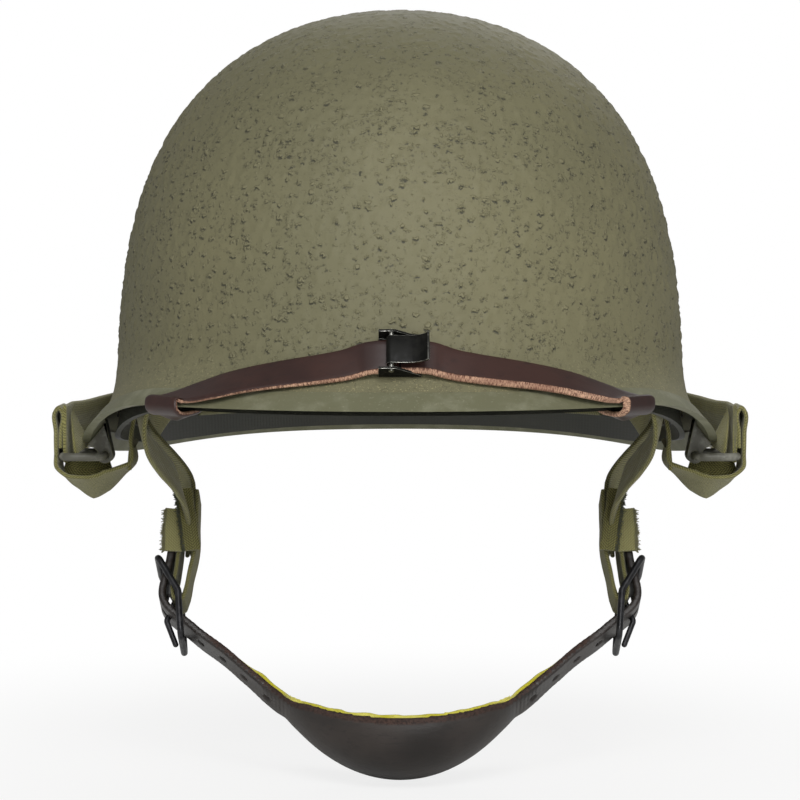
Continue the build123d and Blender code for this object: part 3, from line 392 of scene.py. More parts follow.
def wall_frame(angle, height, inset, brim):
    """A place on a skin: the point, the outward normal, the level direction and the way up."""
    here = skin(angle, height, inset, brim)
    climb = SHELL_CROWN * FRAME_STEP
    side = skin(angle + FRAME_STEP, height, inset, brim) - skin(angle - FRAME_STEP, height, inset, brim)
    rise = skin(angle, height + climb, inset, brim) - skin(angle, height - climb, inset, brim)
    side, rise = side.normalized(), rise.normalized()
    out = side.cross(rise)
    if out.dot(Vector((here.x, here.y, 0))) < 0:
        out = -out
    return here, out, side, rise


def route(points, acrosses, steps):
    """Stations (centre, width direction, travel) on a smooth line through the points. The width
    directions are one for each point, or one for all."""
    points = [Vector(point) for point in points]
    last = len(points) - 1
    if isinstance(acrosses, Vector):
        acrosses = [acrosses] * len(points)
    spans = [(points[place + 1] - points[place]).length for place in range(last)]
    tangents = []
    for place in range(last + 1):
        before, after = max(place - 1, 0), min(place, last - 1)
        arriving = (points[before + 1] - points[before]).normalized()
        leaving = (points[after + 1] - points[after]).normalized()
        whole = spans[before] + spans[after]
        tangents.append((arriving * spans[after] + leaving * spans[before]) / whole)
    stations = [(points[0], acrosses[0], tangents[0])]
    for place, span in enumerate(spans):
        for step in range(1, steps + 1):
            t = step / steps
            passed = 3 * t ** 2 - 2 * t ** 3
            here = points[place] * (1 - passed) + points[place + 1] * passed
            here += tangents[place] * (span * (t ** 3 - 2 * t ** 2 + t))
            here += tangents[place + 1] * (span * (t ** 3 - t ** 2))
            travel = (points[place + 1] - points[place]) * (6 * t - 6 * t ** 2)
            travel += tangents[place] * (span * (3 * t ** 2 - 4 * t + 1))
            travel += tangents[place + 1] * (span * (3 * t ** 2 - 2 * t))
            stations.append((here, acrosses[place] * (1 - t) + acrosses[place + 1] * t, travel))
    return stations


def facing_along(points, normals):
    """Each point's width direction, square to the line and to a normal."""
    last = len(points) - 1
    return [normal.cross(points[min(place + 1, last)] - points[max(place - 1, 0)]).normalized()
            for place, normal in enumerate(normals)]


def section(width, thickness, flats, turns):
    """Points round a flat section with round edges: (across, deep, distance round it)."""
    radius = thickness / 2
    half = width / 2 - radius
    points = []
    for way in (1, -1):
        points += [(way * (-half + 2 * half * step / flats), way * radius) for step in range(flats)]
        for step in range(turns):
            turn = math.pi * step / turns
            points.append((way * (half + radius * math.sin(turn)), way * radius * math.cos(turn)))
    points.append(points[0])
    distance = 0.0
    measured = [(*points[0], 0.0)]
    for before, after in zip(points, points[1:]):
        distance += math.dist(before, after)
        measured.append((*after, distance))
    return measured


def strap(name, stations, width, thickness, waver=0.12, turns=4, closed=False, square=True):
    """A flat web or leather strap bent along its stations. Its UV map is in metres, so a weave keeps
    its scale. One that is not square keeps each width direction and its length as given, so that it
    can hang askew or fold over an edge at a slant. The waver starts elsewhere for each name's length."""
    outline = section(width, thickness, SECTION_FLATS, turns)
    columns, rows = len(stations) - 1, len(outline) - 1
    piece = grid(name, columns, rows)
    lengths = [0.0]
    for before, after in zip(stations, stations[1:]):
        lengths.append(lengths[-1] + (after[0] - before[0]).length)
    frames = []
    for centre, across, travel in stations:
        normal = across.cross(travel).normalized()
        half = travel.cross(normal).normalized() if square else across
        frames.append((centre, half, normal))
    places = []
    for point in piece.data.vertices:
        column = round((point.co.x + 0.5) * columns)
        row = round((point.co.y + 0.5) * rows)
        places.append((column, row))
        centre, half, normal = frames[column]
        across, deep, _ = outline[row]
        run = lengths[column]
        sway = noise.noise(Vector((run / SWAY_RUN, across / SWAY_ACROSS, 3.7 * len(name)))) * waver
        edge = noise.noise(Vector((run / EDGE_RUN, 9.1 * len(name), across))) * waver * 0.7
        here = centre + half * (across * (1 + edge / width)) + normal * (deep + sway)
        point.co = here * MM
    uv = piece.data.uv_layers.active.data
    for loop in piece.data.loops:
        column, row = places[loop.vertex_index]
        uv[loop.index].uv = (lengths[column] * MM, outline[row][2] * MM)
    close_seams(piece, cap=not closed)
    smooth(piece, 70)
    return piece


def band_half(angle, level):
    """Half of a band, from its rivet to the crown: its points, width direction and end."""
    wall, out, side, rise = wall_frame(angle, BAND_RIVET_HEIGHT, LINER_INSIDE, LINER_BRIM)
    seat = wall - out * (WEB_SEAT + WEB_THICK / 2)
    turn = skin(angle, BAND_TURN_HEIGHT, LINER_INSIDE + BAND_STANDOFF, LINER_BRIM)
    climb = SHELL_CROWN - LINER_INSIDE - CROWN_CLEARANCE - BAND_TURN_HEIGHT - level * CROSSING_PITCH
    flat = Vector((turn.x, turn.y, 0))
    lower = seat + rise * (WASHER_HEIGHT / 2 + REST)
    points = [seat - rise * (WEB_WIDTH / 2), seat, lower]
    for step in range(1, TURN_STEPS + 1):
        share = step / TURN_STEPS
        inward = (turn - lower) * ease(share)
        points.append(lower + Vector((inward.x, inward.y, (turn.z - lower.z) * share)))
    for step in range(1, CLIMB_STEPS):
        swing = step / CLIMB_STEPS * math.pi / 2
        points.append(flat * math.cos(swing) + UP * (turn.z + climb * math.sin(swing)))
    return points, side, UP * (turn.z + climb)


# Olive cotton webbing, herringbone woven. The real yarns are 0.5 mm apart, which is finer than the
# render shows, so the weave is drawn at 1.15 mm with its rows turning every 4.75 mm.
TWILL_PITCH, YARN_PITCH, HERRINGBONE_ROW = 1.15, 0.92, 4.75


def webbing_material(name, dark, light, faded_light):
    material, tree, place = new_material(name, Roughness=0.9, IOR=1.45,
                                         Sheen_Weight=0.25, Sheen_Roughness=0.6)
    along = add(tree, "SeparateXYZ", [add(tree, "TexCoord", [], "UV")], "X")
    across = along.node.outputs["Y"]
    turned = add(tree, "Math", [across, HERRINGBONE_ROW * MM], operation="PINGPONG")
    slanted = add(tree, "Math", [along, turned], operation="ADD")
    weave = 0.5
    for line, pitch, height in ((slanted, TWILL_PITCH, 0.3), (across, YARN_PITCH, 0.14)):
        turns = add(tree, "Math", [line, 2 * math.pi / (pitch * MM)], operation="MULTIPLY")
        wave = add(tree, "Math", [turns], operation="SINE")
        weave = add(tree, "Math", [wave, height, weave], operation="MULTIPLY_ADD")
    fuzz = add(tree, "TexNoise", {"Vector": place, "Scale": 1500, "Detail": 3, "Roughness": 0.7})
    fuzz = add(tree, "Math", [fuzz, 0.5], operation="SUBTRACT")
    weave = add(tree, "Math", [fuzz, 0.9, weave], operation="MULTIPLY_ADD")
    worn = add(tree, "TexNoise", {"Vector": place, "Scale": 55, "Detail": 4})
    colour = layer(tree, dark, light, weave, 0.1, 0.9)
    colour = layer(tree, colour, faded_light, worn, 0.5, 0.8, 0.0, 0.45)
    finish_surface(tree, colour, weave, 0.8, 0.35)
    return material


webbing = webbing_material("herringbone_cotton_webbing", "48461c", "7d7a42", "8a8758")
for number in range(3):
    angle = math.pi / 3 * number
    first, side, top = band_half(angle, number)
    second = band_half(angle + math.pi, number)[0]
    points = first + [top] + second[::-1]
    band = strap("band_" + str(number + 1), route(points, side, 3), WEB_WIDTH, WEB_THICK)
    paint_on(band, webbing)
    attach(band, "liner")
    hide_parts("suspension_band_" + str(number + 1))


# Rivets, washers, snaps and studs: brass, chemically blackened, rolled over at their ends.
# The black wears to a dull brown brass on the crowns.
blackened_brass, tree, place = new_material("blackened_brass", Metallic=0.85)
wear = add(tree, "TexNoise", {"Vector": place, "Scale": 260, "Detail": 5, "Roughness": 0.65})
polish = add(tree, "MapRange", [wear, 0.3, 0.8, 0.5, 0.33], interpolation_type="SMOOTHSTEP")
finish_surface(tree, layer(tree, "38352c", "6e6143", wear, 0.45, 0.75), roughness=polish)
for name in ("suspension_rivets", "suspension_washers", "nape_snaps", "yoke_rivets", "snap_sockets",
             "left_snap_stud", "right_snap_stud", "garter_studs"):
    paint_on(nodes[name], blackened_brass)


# Head ring: an upright web that the sweatband hangs on, sewn to the suspension's inner turn.
# Sweatband: a strip of smooth brown leather, 38 mm high, folded over it and held by steel clips.
SWEATBAND_HEIGHT, SWEATBAND_THICK = 38.0, 1.8
RING_HEIGHT = 14.0
RING_INSET = LINER_INSIDE + BAND_STANDOFF + WEB_THICK / 2 + REST
RING_COLUMNS = 144


def upright_ring(name, inset, thickness, low, height):
    """An upright band that follows the plan of the dome at the sweatband's upper edge."""
    stations = []
    for column in range(RING_COLUMNS + 1):
        angle = 2 * math.pi * column / RING_COLUMNS
        before, here, after = [
            skin(angle + turn, SEAT_ABOVE_RIM + SWEATBAND_HEIGHT, inset + thickness / 2, LINER_BRIM)
            for turn in (-0.01, 0, 0.01)]
        stations.append((Vector((here.x, here.y, low + height / 2)), UP, (after - before).normalized()))
    return strap(name, stations, height, thickness, waver=0.1, closed=True)


head_ring = upright_ring("headband_web", RING_INSET, WEB_THICK, SWEATBAND_HEIGHT - REST - RING_HEIGHT,
                         RING_HEIGHT)
paint_on(head_ring, webbing)
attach(head_ring, "liner")
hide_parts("head_ring")

sweatband = upright_ring("sweatband_leather_strip", RING_INSET + WEB_THICK + REST, SWEATBAND_THICK, 0,
                         SWEATBAND_HEIGHT)
# Vegetable-tanned calf, smooth side in, with fine pores and soft upright creases from folding.
calf_leather, tree, place = new_material("vegetable_tanned_calf", Roughness=0.5, IOR=1.5)
creases = add(tree, "Mapping", {"Vector": place, "Scale": (1, 1, 0.15)})
crease = add(tree, "TexNoise", {"Vector": creases, "Scale": 120, "Detail": 4, "Distortion": 1})
pores = add(tree, "TexVoronoi", {"Vector": place, "Scale": 900})
shade = add(tree, "TexNoise", {"Vector": place, "Scale": 30, "Detail": 3})
colour = layer(tree, "6e4a2c", "87603c", shade, 0.35, 0.7)
# Painted shade: the hollows of the creases are drawn darker.
colour = layer(tree, colour, "4c3220", crease, 0.3, 0.48, 0.5, 0.0)
relief = add(tree, "Math", [pores, 0.25, crease], operation="MULTIPLY_ADD")
finish_surface(tree, colour, relief, 0.35, 0.4)
paint_on(sweatband, calf_leather)
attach(sweatband, "liner")
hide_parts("sweatband")


# Spring clips: twelve U-shaped clips of dark enamelled steel that grip the sweatband to the ring.
# The enamel is nearly black and a little uneven, and bare steel shows at the rubbed edges.
dark_enamel, tree, place = new_material("black_stoved_enamel", IOR=1.5, Specular_IOR_Level=0.14)
wear = add(tree, "TexNoise", {"Vector": place, "Scale": 420, "Detail": 4})
polish = add(tree, "MapRange", [wear, 0.3, 0.7, 0.42, 0.6], interpolation_type="SMOOTHSTEP")
finish_surface(tree, layer(tree, "0c0c0a", "171714", wear, 0.4, 0.7), wear, 0.2, 0.08, polish)
worn_edge, tree, place = new_material("bare_rubbed_steel", Metallic=1.0, Roughness=0.35)
wear = add(tree, "TexNoise", {"Vector": place, "Scale": 500, "Detail": 3})
finish_surface(tree, layer(tree, "6f6f6a", "c9c8c0", wear, 0.35, 0.65))


def own_copy(name, source):
    """A copy of an object with its own mesh, picked."""
    piece = bpy.data.objects.new(name, source.data.copy())
    bpy.context.scene.collection.objects.link(piece)
    pick(piece)
    return piece


def merged_copy(name, node):
    """A copy of a CAD node, whose loose triangles are merged: left in edit mode, all selected."""
    piece = own_copy(name, nodes[node])
    bpy.ops.mesh.customdata_custom_splitnormals_clear()
    edit_all(piece)
    bpy.ops.mesh.remove_doubles(threshold=2 * SEAM_GAP * MM)
    return piece


def modify(piece, kind, **settings):
    """Adds a modifier with its settings and applies it."""
    made = piece.modifiers.new(kind.lower(), kind)
    for name, value in settings.items():
        setattr(made, name, value)
    pick(piece)
    bpy.ops.object.modifier_apply(modifier=made.name)


def eased(name, node, body, width, face_material, edge_material):
    """A copy of a hard CAD node with its sharp edges rounded and rubbed to the second material."""
    piece = merged_copy(name, node)
    bpy.ops.mesh.dissolve_limited(angle_limit=math.radians(2))
    bpy.ops.object.mode_set(mode="OBJECT")
    paint_on(piece, face_material, edge_material)
    for face in piece.data.polygons:
        face.material_index = 0
    modify(piece, "BEVEL", width=width * MM, segments=2, limit_method="ANGLE",
           angle_limit=math.radians(38), material=1)
    smooth(piece, 35)
    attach(piece, body)
    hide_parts(node)


eased("spring_clips", "sweatband_clips", "liner", 0.15, dark_enamel, worn_edge)


# Nape strap: a web 14 mm wide across the liner's lower back, pressed on three snap studs.
# It follows the liner's wall there, with its studs at the middle and near both ends.
NAPE_WIDTH, NAPE_HEIGHT, NAPE_SPREAD, NAPE_STEPS = 14, 19.8, 0.58, 16
nape_points, nape_acrosses = [], []
for step in range(NAPE_STEPS + 1):
    angle = math.pi / 2 + math.pi / 2 * NAPE_SPREAD * (2 * step / NAPE_STEPS - 1)
    wall, out, side, rise = wall_frame(angle, NAPE_HEIGHT, LINER_INSIDE, LINER_BRIM)
    nape_points.append(wall - out * (REST + WEB_THICK / 2))
    nape_acrosses.append(rise)
nape = strap("nape_web", route(nape_points, nape_acrosses, 4), NAPE_WIDTH, WEB_THICK, waver=0.08)
paint_on(nape, webbing)
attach(nape, "liner")
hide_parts("nape_strap")


# Yokes: on each side a front and a rear web leg, riveted inside the liner and sewn into a loop.
# They hang slack with soft edges, the front one in front of the rear one at the seam.
BUCKLE_X, BUCKLE_Y, BUCKLE_Z = -85.0, -10.0, -80.0
CUP_TILT = 27
YOKE_THICK, YOKE_FOOT, YOKE_LEAVE, YOKE_ASIDE = 1.8, 17.0, 8.4, 1.2
YOKE_STEPS = 12
SEAM_HEIGHT, SEAM_LENGTH = 32.0, 22.0


def harness(x, y, z):
    """A place of the lower harness, which hangs tilted forward from the buckles' bars."""
    tilt = Matrix.Rotation(math.radians(-CUP_TILT), 3, "X")
    return tilt @ Vector((x, y, z)) + Vector((0, BUCKLE_Y, BUCKLE_Z))


def wall_angle(y, height):
    """The angle on the left half where the liner's inside passes the given y."""
    low, high = math.pi / 2, 3 * math.pi / 2
    for _ in range(40):
        middle = (low + high) / 2
        if skin(middle, height, LINER_INSIDE, LINER_BRIM).y > y:
            low = middle
        else:
            high = middle
    return (low + high) / 2


def yoke_leg(name, wall_y, rivet_height, lean, lane_x, straight, bulge, face):
    """A left web leg, from its rivet on the wall to the seam: it leaves along its lean, bulges
    sideways in between, and turns to the seam, where its face looks a little forward."""
    wall, out, side, rise = wall_frame(wall_angle(wall_y, rivet_height), rivet_height,
                                       LINER_INSIDE, LINER_BRIM)
    if side.y * wall_y > 0:
        side = -side
    pull = (side * lean - rise).normalized()
    seat = wall - out * (WEB_SEAT + YOKE_THICK / 2)
    seam = harness(lane_x, 0, SEAM_HEIGHT)
    along = Vector((0, seam.y - seat.y, seam.z - seat.z)).normalized()
    leave = seat + pull * YOKE_LEAVE
    arrive = seam - along * straight - Vector((YOKE_ASIDE, 0, 0))
    handle = (arrive - leave).length / 3
    points, normals = [seat - pull * (YOKE_FOOT / 2), seat], [out, out]
    for step in range(YOKE_STEPS + 1):
        t = step / YOKE_STEPS
        here = leave * (1 - t) ** 3 + (leave + pull * handle) * (3 * t * (1 - t) ** 2)
        here += (arrive - along * handle) * (3 * t ** 2 * (1 - t)) + arrive * t ** 3
        here.x += bulge * math.sin(math.pi * t)
        points.append(here)
        turned = ease(t * 1.7)
        normals.append(out * (1 - turned) + Vector((-1, face, 0)) * turned)
    points += [seam, seam + along * (WEB_WIDTH / 2)]
    normals += [Vector((-1, face * 0.6, 0)), Vector((-1, 0, 0))]
    return strap(name, route(points, facing_along(points, normals), 5), WEB_WIDTH, YOKE_THICK, waver=0.25)


def mirror_across(piece, name):
    """A right-hand copy of a left-hand piece, with its own mesh."""
    other = own_copy(name, piece)
    for point in other.data.vertices:
        point.co.x = -point.co.x
    turn_inside_out(other)
    smooth(other, 70)
    return other


# Painted light: a paler copy of the same olive webbing, drawn lighter for the light on the yoke legs,
# loops, tabs and stowed webs.
yoke_webbing = webbing_material("sunlit_cotton_webbing", "504c20", "8d8950", "9b9768")
OUTER_LANE = BUCKLE_X - REST / 2
FRONT_LANE = OUTER_LANE + WEB_THICK / 2 + REST + YOKE_THICK / 2
REAR_LANE = FRONT_LANE + YOKE_THICK + REST
INNER_LANE = REAR_LANE + YOKE_THICK / 2 + REST + WEB_THICK / 2
for leg, *shape in (("front", -52, 31, 0.36, FRONT_LANE, 0.65 * WEB_WIDTH, 1.6, -0.48),
                    ("rear", 50, 25, 0.62, REAR_LANE, 0.85 * WEB_WIDTH, -6.5, -0.08)):
    left = yoke_leg("left_" + leg + "_web", *shape)
    paint_on(left, yoke_webbing)
    right = mirror_across(left, "right_" + leg + "_web")
    for piece, hand in ((left, "left"), (right, "right")):
        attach(piece, "liner")
        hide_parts(hand + "_yoke_" + leg + "_leg")


# Buckle loops: a short web folded round each buckle's middle bar, its two raw ends sewn over the
# yoke's legs. The cut ends fray into small tufts.
LOOP_WIDTH, BAR_RADIUS, LOOP_ARC_STEPS = 17, 1.3, 4
FLAP_PLACE, FLAP_THICK = -10.2, 1.1
FRAY_COUNT, FRAY_LENGTH, FRAY_SPREAD, FRAY_RADIUS = 420, 1.25, 0.5, 0.3


def buckle_loop(name):
    radius = BAR_RADIUS + REST / 2 + WEB_THICK / 2
    top, foot = SEAM_HEIGHT + SEAM_LENGTH / 2, SEAM_HEIGHT - SEAM_LENGTH / 2
    line = [(INNER_LANE, top), (INNER_LANE, SEAM_HEIGHT), (INNER_LANE, foot),
            ((INNER_LANE + BUCKLE_X + radius) / 2, foot / 2)]
    for step in range(LOOP_ARC_STEPS + 1):
        turn = math.pi * step / LOOP_ARC_STEPS
        line.append((BUCKLE_X + radius * math.cos(turn), -radius * math.sin(turn)))
    line += [((OUTER_LANE + BUCKLE_X - radius) / 2, foot / 2), (OUTER_LANE, foot),
             (OUTER_LANE, SEAM_HEIGHT), (OUTER_LANE - WEB_THICK, top - WEB_THICK)]
    points = [harness(x, 0, z) for x, z in line]
    across = harness(0, 1, 0) - harness(0, 0, 0)
    return strap(name, route(points, across, 4), LOOP_WIDTH, WEB_THICK, waver=0.25)


def tufts(name, roots, ways, picked):
    """Loose yarn ends: short bent fibres that stand from a cut edge."""
    curve = bpy.data.curves.new(name, "CURVE")
    curve.dimensions = "3D"
    curve.bevel_depth = FRAY_RADIUS * MM
    curve.bevel_resolution = 0
    for root, way in zip(roots, ways):
        line = curve.splines.new("POLY")
        line.points.add(3)
        drift = Vector([picked.uniform(-FRAY_SPREAD, FRAY_SPREAD) for _ in range(3)])
        bend = Vector([picked.uniform(-FRAY_SPREAD, FRAY_SPREAD) for _ in range(3)])
        tall = FRAY_LENGTH * picked.uniform(0.45, 1.1)
        for step, point in enumerate(line.points):
            share = step / 3
            here = root + way * (tall * share) + (drift * share + bend * share * share) * tall
            point.co = (here * MM).to_4d()
            point.radius = 1 - 0.6 * share
    piece = bpy.data.objects.new(name, curve)
    bpy.context.scene.collection.objects.link(piece)
    pick(piece)
    bpy.ops.object.convert(target="MESH")
    return bpy.context.object


def seam_end(name, line, wide, seed, shade, yarn):
    """A cut web end laid over the seam in the harness's own plane, with its frayed edge."""
    middle = [harness(x, FLAP_PLACE, z) for x, z in line]
    across = Vector((1, 0.12, 0)).normalized()
    flap = strap(name, route(middle, across, 6), wide, FLAP_THICK, waver=0.5)
    paint_on(flap, shade)
    picked = random.Random(seed)
    roots, ways = [], []
    for _ in range(FRAY_COUNT):
        share = picked.uniform(0, len(line) - 1.001)
        place = int(share)
        here = middle[place].lerp(middle[place + 1], share - place)
        roots.append(here - across * (wide / 2 - 0.7) + Vector((0, picked.uniform(-0.6, 0.4), 0)))
        droop = Vector((0, picked.uniform(-0.5, 0.2), picked.uniform(-0.9, 0.5)))
        ways.append((droop - across).normalized())
    fringe = tufts(name + "_fringe", roots, ways, random.Random(seed))
    fringe.data.materials.append(yarn)
    return joined(name, [flap, fringe])


left_loop = buckle_loop("left_loop_web")
paint_on(left_loop, yoke_webbing)
frayed_webbing = webbing_material("frayed_cotton_webbing", "8b8651", "aaa671", "b5b182")
dark_yarn = webbing_material("raw_dark_cotton_yarn", "34370f", "5d612b", "62662f")
under_end = seam_end("under_end", [(-87.3, 34), (-87.6, 26), (-87.7, 16.5)], 7.4, 3,
                     frayed_webbing, frayed_webbing)
over_end = seam_end("over_end", [(-84.0, 42.5), (-82.9, 35), (-81.6, 27), (-80.0, 17)], 6.6, 8,
                    yoke_webbing, dark_yarn)
for point in over_end.data.vertices:
    point.co.y -= WEB_THICK * MM
left_loop = joined("left_loop_web", [left_loop, under_end, over_end])
right_loop = mirror_across(left_loop, "right_loop_web")
for piece, hand in ((left_loop, "left"), (right_loop, "right")):
    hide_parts(hand + "_buckle_loop")
    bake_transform(piece)


# Buckles and prongs: blackened steel wire bent to a frame with a middle bar, and a wire tongue.
# Bails: the same wire in closed loops that swing in folded lugs welded inside the brim.
black_wire, tree, place = new_material("blackened_steel_wire", Metallic=0.55)
wear = add(tree, "TexNoise", {"Vector": place, "Scale": 300, "Detail": 5, "Roughness": 0.6})
polish = add(tree, "MapRange", [wear, 0.3, 0.75, 0.3, 0.5], interpolation_type="SMOOTHSTEP")
finish_surface(tree, layer(tree, "262628", "3c3c3f", wear, 0.4, 0.7), wear, 0.2, 0.1, polish)
for name in ("left_buckle_frame", "right_buckle_frame", "left_prong", "right_prong"):
    paint_on(nodes[name], black_wire)
olive_wire, tree, place = new_material("olive_painted_wire", Roughness=0.5, IOR=1.5)
wear = add(tree, "TexNoise", {"Vector": place, "Scale": 240, "Detail": 5, "Roughness": 0.6})
finish_surface(tree, layer(tree, "55544a", "7b7a70", wear, 0.45, 0.7))
for name in ("left_bail", "right_bail"):
    paint_on(nodes[name], olive_wire)
for hand in ("left", "right"):
    eased(hand + "_lug_plate", hand + "_bail_lug", "steel_shell", 0.25,
          olive_wire, smooth_paint)


# Chin cup: one piece of thick dark leather, its bowl moulded wet over a former and its two holed
# straps woven through the buckles. The cut edge is left raw and dark, and the bowl is polished by wear.
CORNER_PLACE, CORNER_CORE, CORNER_REACH = 44, 4, 9
DENT_PLACE, DENT_REACH, DENT_DEPTH, DENT_BELOW = 47, 7, 2.2, 9
BOWL_ENDS, STRAPS_START = 70, 76
RIM_PITCH, CUT_EDGE = 1.5, 2.0


def softened(name, node, voxel, passes):
    """A copy of a soft CAD node, remeshed evenly and relaxed so that its edges are round."""
    piece = merged_copy(name, node)
    bpy.ops.object.mode_set(mode="OBJECT")
    modify(piece, "REMESH", mode="VOXEL", voxel_size=voxel * MM)
    modify(piece, "SMOOTH", factor=0.5, iterations=passes)
    return piece


cup = softened("chin_cup_leather", "chin_cup", 0.62, 4)
# The corners where the straps leave the bowl are relaxed more, and dented a little below the rim.
corners = cup.vertex_groups.new(name="corners")
for point in cup.data.vertices:
    away = abs(abs(point.co.x) / MM - CORNER_PLACE)
    if away < CORNER_REACH:
        corners.add([point.index], 1 - ease(away, CORNER_CORE, CORNER_REACH), "REPLACE")
modify(cup, "SMOOTH", factor=0.5, iterations=90, vertex_group="corners")
rim_line = {}
for point in cup.data.vertices:
    column = round(point.co.x / MM / RIM_PITCH)
    if column not in rim_line or point.co.z > rim_line[column].z:
        rim_line[column] = point.co.copy()


def below_rim(point):
    """How far a point of the cup lies below its rim, in mm."""
    return (rim_line[round(point.co.x / MM / RIM_PITCH)].z - point.co.z) / MM


for point in cup.data.vertices:
    beside = (abs(point.co.x) / MM - DENT_PLACE) / DENT_REACH
    if abs(beside) < 2.5 and point.co.z < -0.09:
        dent = DENT_DEPTH * math.exp(-beside * beside) * ease(below_rim(point), 0, DENT_BELOW)
        point.co.z -= dent * MM
near_rim = cup.data.attributes.new("near_rim", "FLOAT", "POINT")
for point in cup.data.vertices:
    in_bowl = 1 - ease(abs(point.co.x) / MM, BOWL_ENDS, STRAPS_START)
    near_rim.data[point.index].value = (1 - ease(below_rim(point), CUT_EDGE, CUT_EDGE + 0.7)) * in_bowl
smooth(cup, 180)
cup_leather, tree, place = new_material("moulded_bridle_leather", IOR=1.5)
lines = add(tree, "Mapping", {"Vector": place, "Scale": (0.22, 1, 1)})
wrinkle = add(tree, "TexNoise", {"Vector": lines, "Scale": 700, "Detail": 3, "Distortion": 0.8})
pores = add(tree, "TexVoronoi", {"Vector": place, "Scale": 1400})
shade = add(tree, "TexNoise", {"Vector": place, "Scale": 26, "Detail": 4})
cut = add(tree, "TexNoise", {"Vector": place, "Scale": 900, "Detail": 4, "Roughness": 0.7})
colour = layer(tree, "1f1a17", "37302c", shade, 0.35, 0.7)
# Painted shade: the hollows of the fine wrinkles are drawn darker.
colour = layer(tree, colour, "1b1817", wrinkle, 0.3, 0.45, 0.45, 0.0)
rim_share = add(tree, "Attribute", [], "Fac", attribute_name="near_rim")
colour = layer(tree, colour, layer(tree, "271b16", "46322a", cut, 0.35, 0.65), rim_share)
matt = add(tree, "MapRange", [shade, 0.3, 0.7, 0.34, 0.5], interpolation_type="SMOOTHSTEP")
matt = add(tree, "Math", [rim_share, 0.4, matt], operation="MULTIPLY_ADD")
relief = add(tree, "Math", [pores, 0.2, wrinkle], operation="MULTIPLY_ADD")
finish_surface(tree, colour, relief, 0.28, 0.25, matt)
paint_on(cup, cup_leather)
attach(cup, "chin_cup")
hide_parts("chin_cup")


# Cup lining: a pad of yellow chamois glued inside the bowl. Its soft edge stands a little above
# the leather's rim, uneven where it was trimmed by hand.
BORDER_WIDTH, BORDER_THICK, BORDER_BEHIND, BORDER_SUNK = 3.0, 1.5, 1.5, 0.7
PAD_FROM, PAD_FULL, PAD_SWELL = 14, 28, 0.5
lining = softened("chamois_pad", "chin_cup_lining", 0.6, 3)
lining_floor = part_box("chin_cup_lining")[0].z / MM
for point in lining.data.vertices:
    here = point.co / MM
    share = ease(here.z - lining_floor, PAD_FROM, PAD_FULL)
    point.co = (here + UP * (PAD_SWELL * share * (0.5 + 0.5 * noise.noise(here / 4.5)))) * MM
border = []
for column in range(-41, 42, 2):
    here = rim_line[column] / MM
    uneven = 0.35 * noise.noise(Vector((column / 2.3, 0.4, 7.1)))
    uneven += 0.25 * noise.noise(Vector((column / 5.1, 2.4, 1.1)))
    sunk = BORDER_SUNK + 1.5 * ease(abs(here.x), 52, 61)
    border.append(Vector((here.x, here.y + BORDER_BEHIND, here.z - sunk + uneven)))
trimmed = strap("chamois_border", route(border, UP + Vector((0, 0.2, 0)), 4), BORDER_WIDTH, BORDER_THICK,
                waver=0.5)
lining = joined("chamois_pad", [lining, trimmed])
smooth(lining, 180)
chamois, tree, place = new_material("yellow_chamois", Roughness=0.95, IOR=1.4, Sheen_Weight=0.4)
nap = add(tree, "TexNoise", {"Vector": place, "Scale": 900, "Detail": 4, "Roughness": 0.7})
shade = add(tree, "TexNoise", {"Vector": place, "Scale": 90, "Detail": 3})
colour = layer(tree, "c8bf2c", "ddd56a", shade, 0.3, 0.7)
colour = layer(tree, colour, "9c9226", nap, 0.3, 0.5, 0.35, 0.0)
finish_surface(tree, colour, nap, 0.7, 0.4)
paint_on(lining, chamois)
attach(lining, "chin_cup")
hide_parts("chin_cup_lining")


# Web chinstraps: 22 mm webs sewn round the bails' outer bars, carried back over the rear brim
# and joined there, stowed out of the way. The sewn end makes three layers at the bar.
REAR_WEB_WIDTH, REAR_WEB_HEIGHT, REAR_WEB_STAND = 22, 17, 1.72
BAIL_X, BAIL_Y, BAIL_Z = -128.5, -12.0, -23.4
BAR_WRAP = 1.55 + REST + WEB_THICK / 2
FOLD_HEIGHT, FOLD_WIDTH, FOLD_LAYERS = 17.6, 21, 3.5
CORNER_WIDTH, CORNER_THICK = 13, 1.3
JOIN_X = -5.04


def laid(angle, height):
    """Centre and upward width direction of a rear web that lies flat on the shell."""
    rise = wall_frame(angle, height, 0, SHELL_BRIM)[3]
    climb = rise.z * REAR_WEB_WIDTH / 2
    low, high = [skin(angle, height + way * climb, -REAR_WEB_STAND, SHELL_BRIM) for way in (-1, 1)]
    return (low + high) * 0.5, high - low


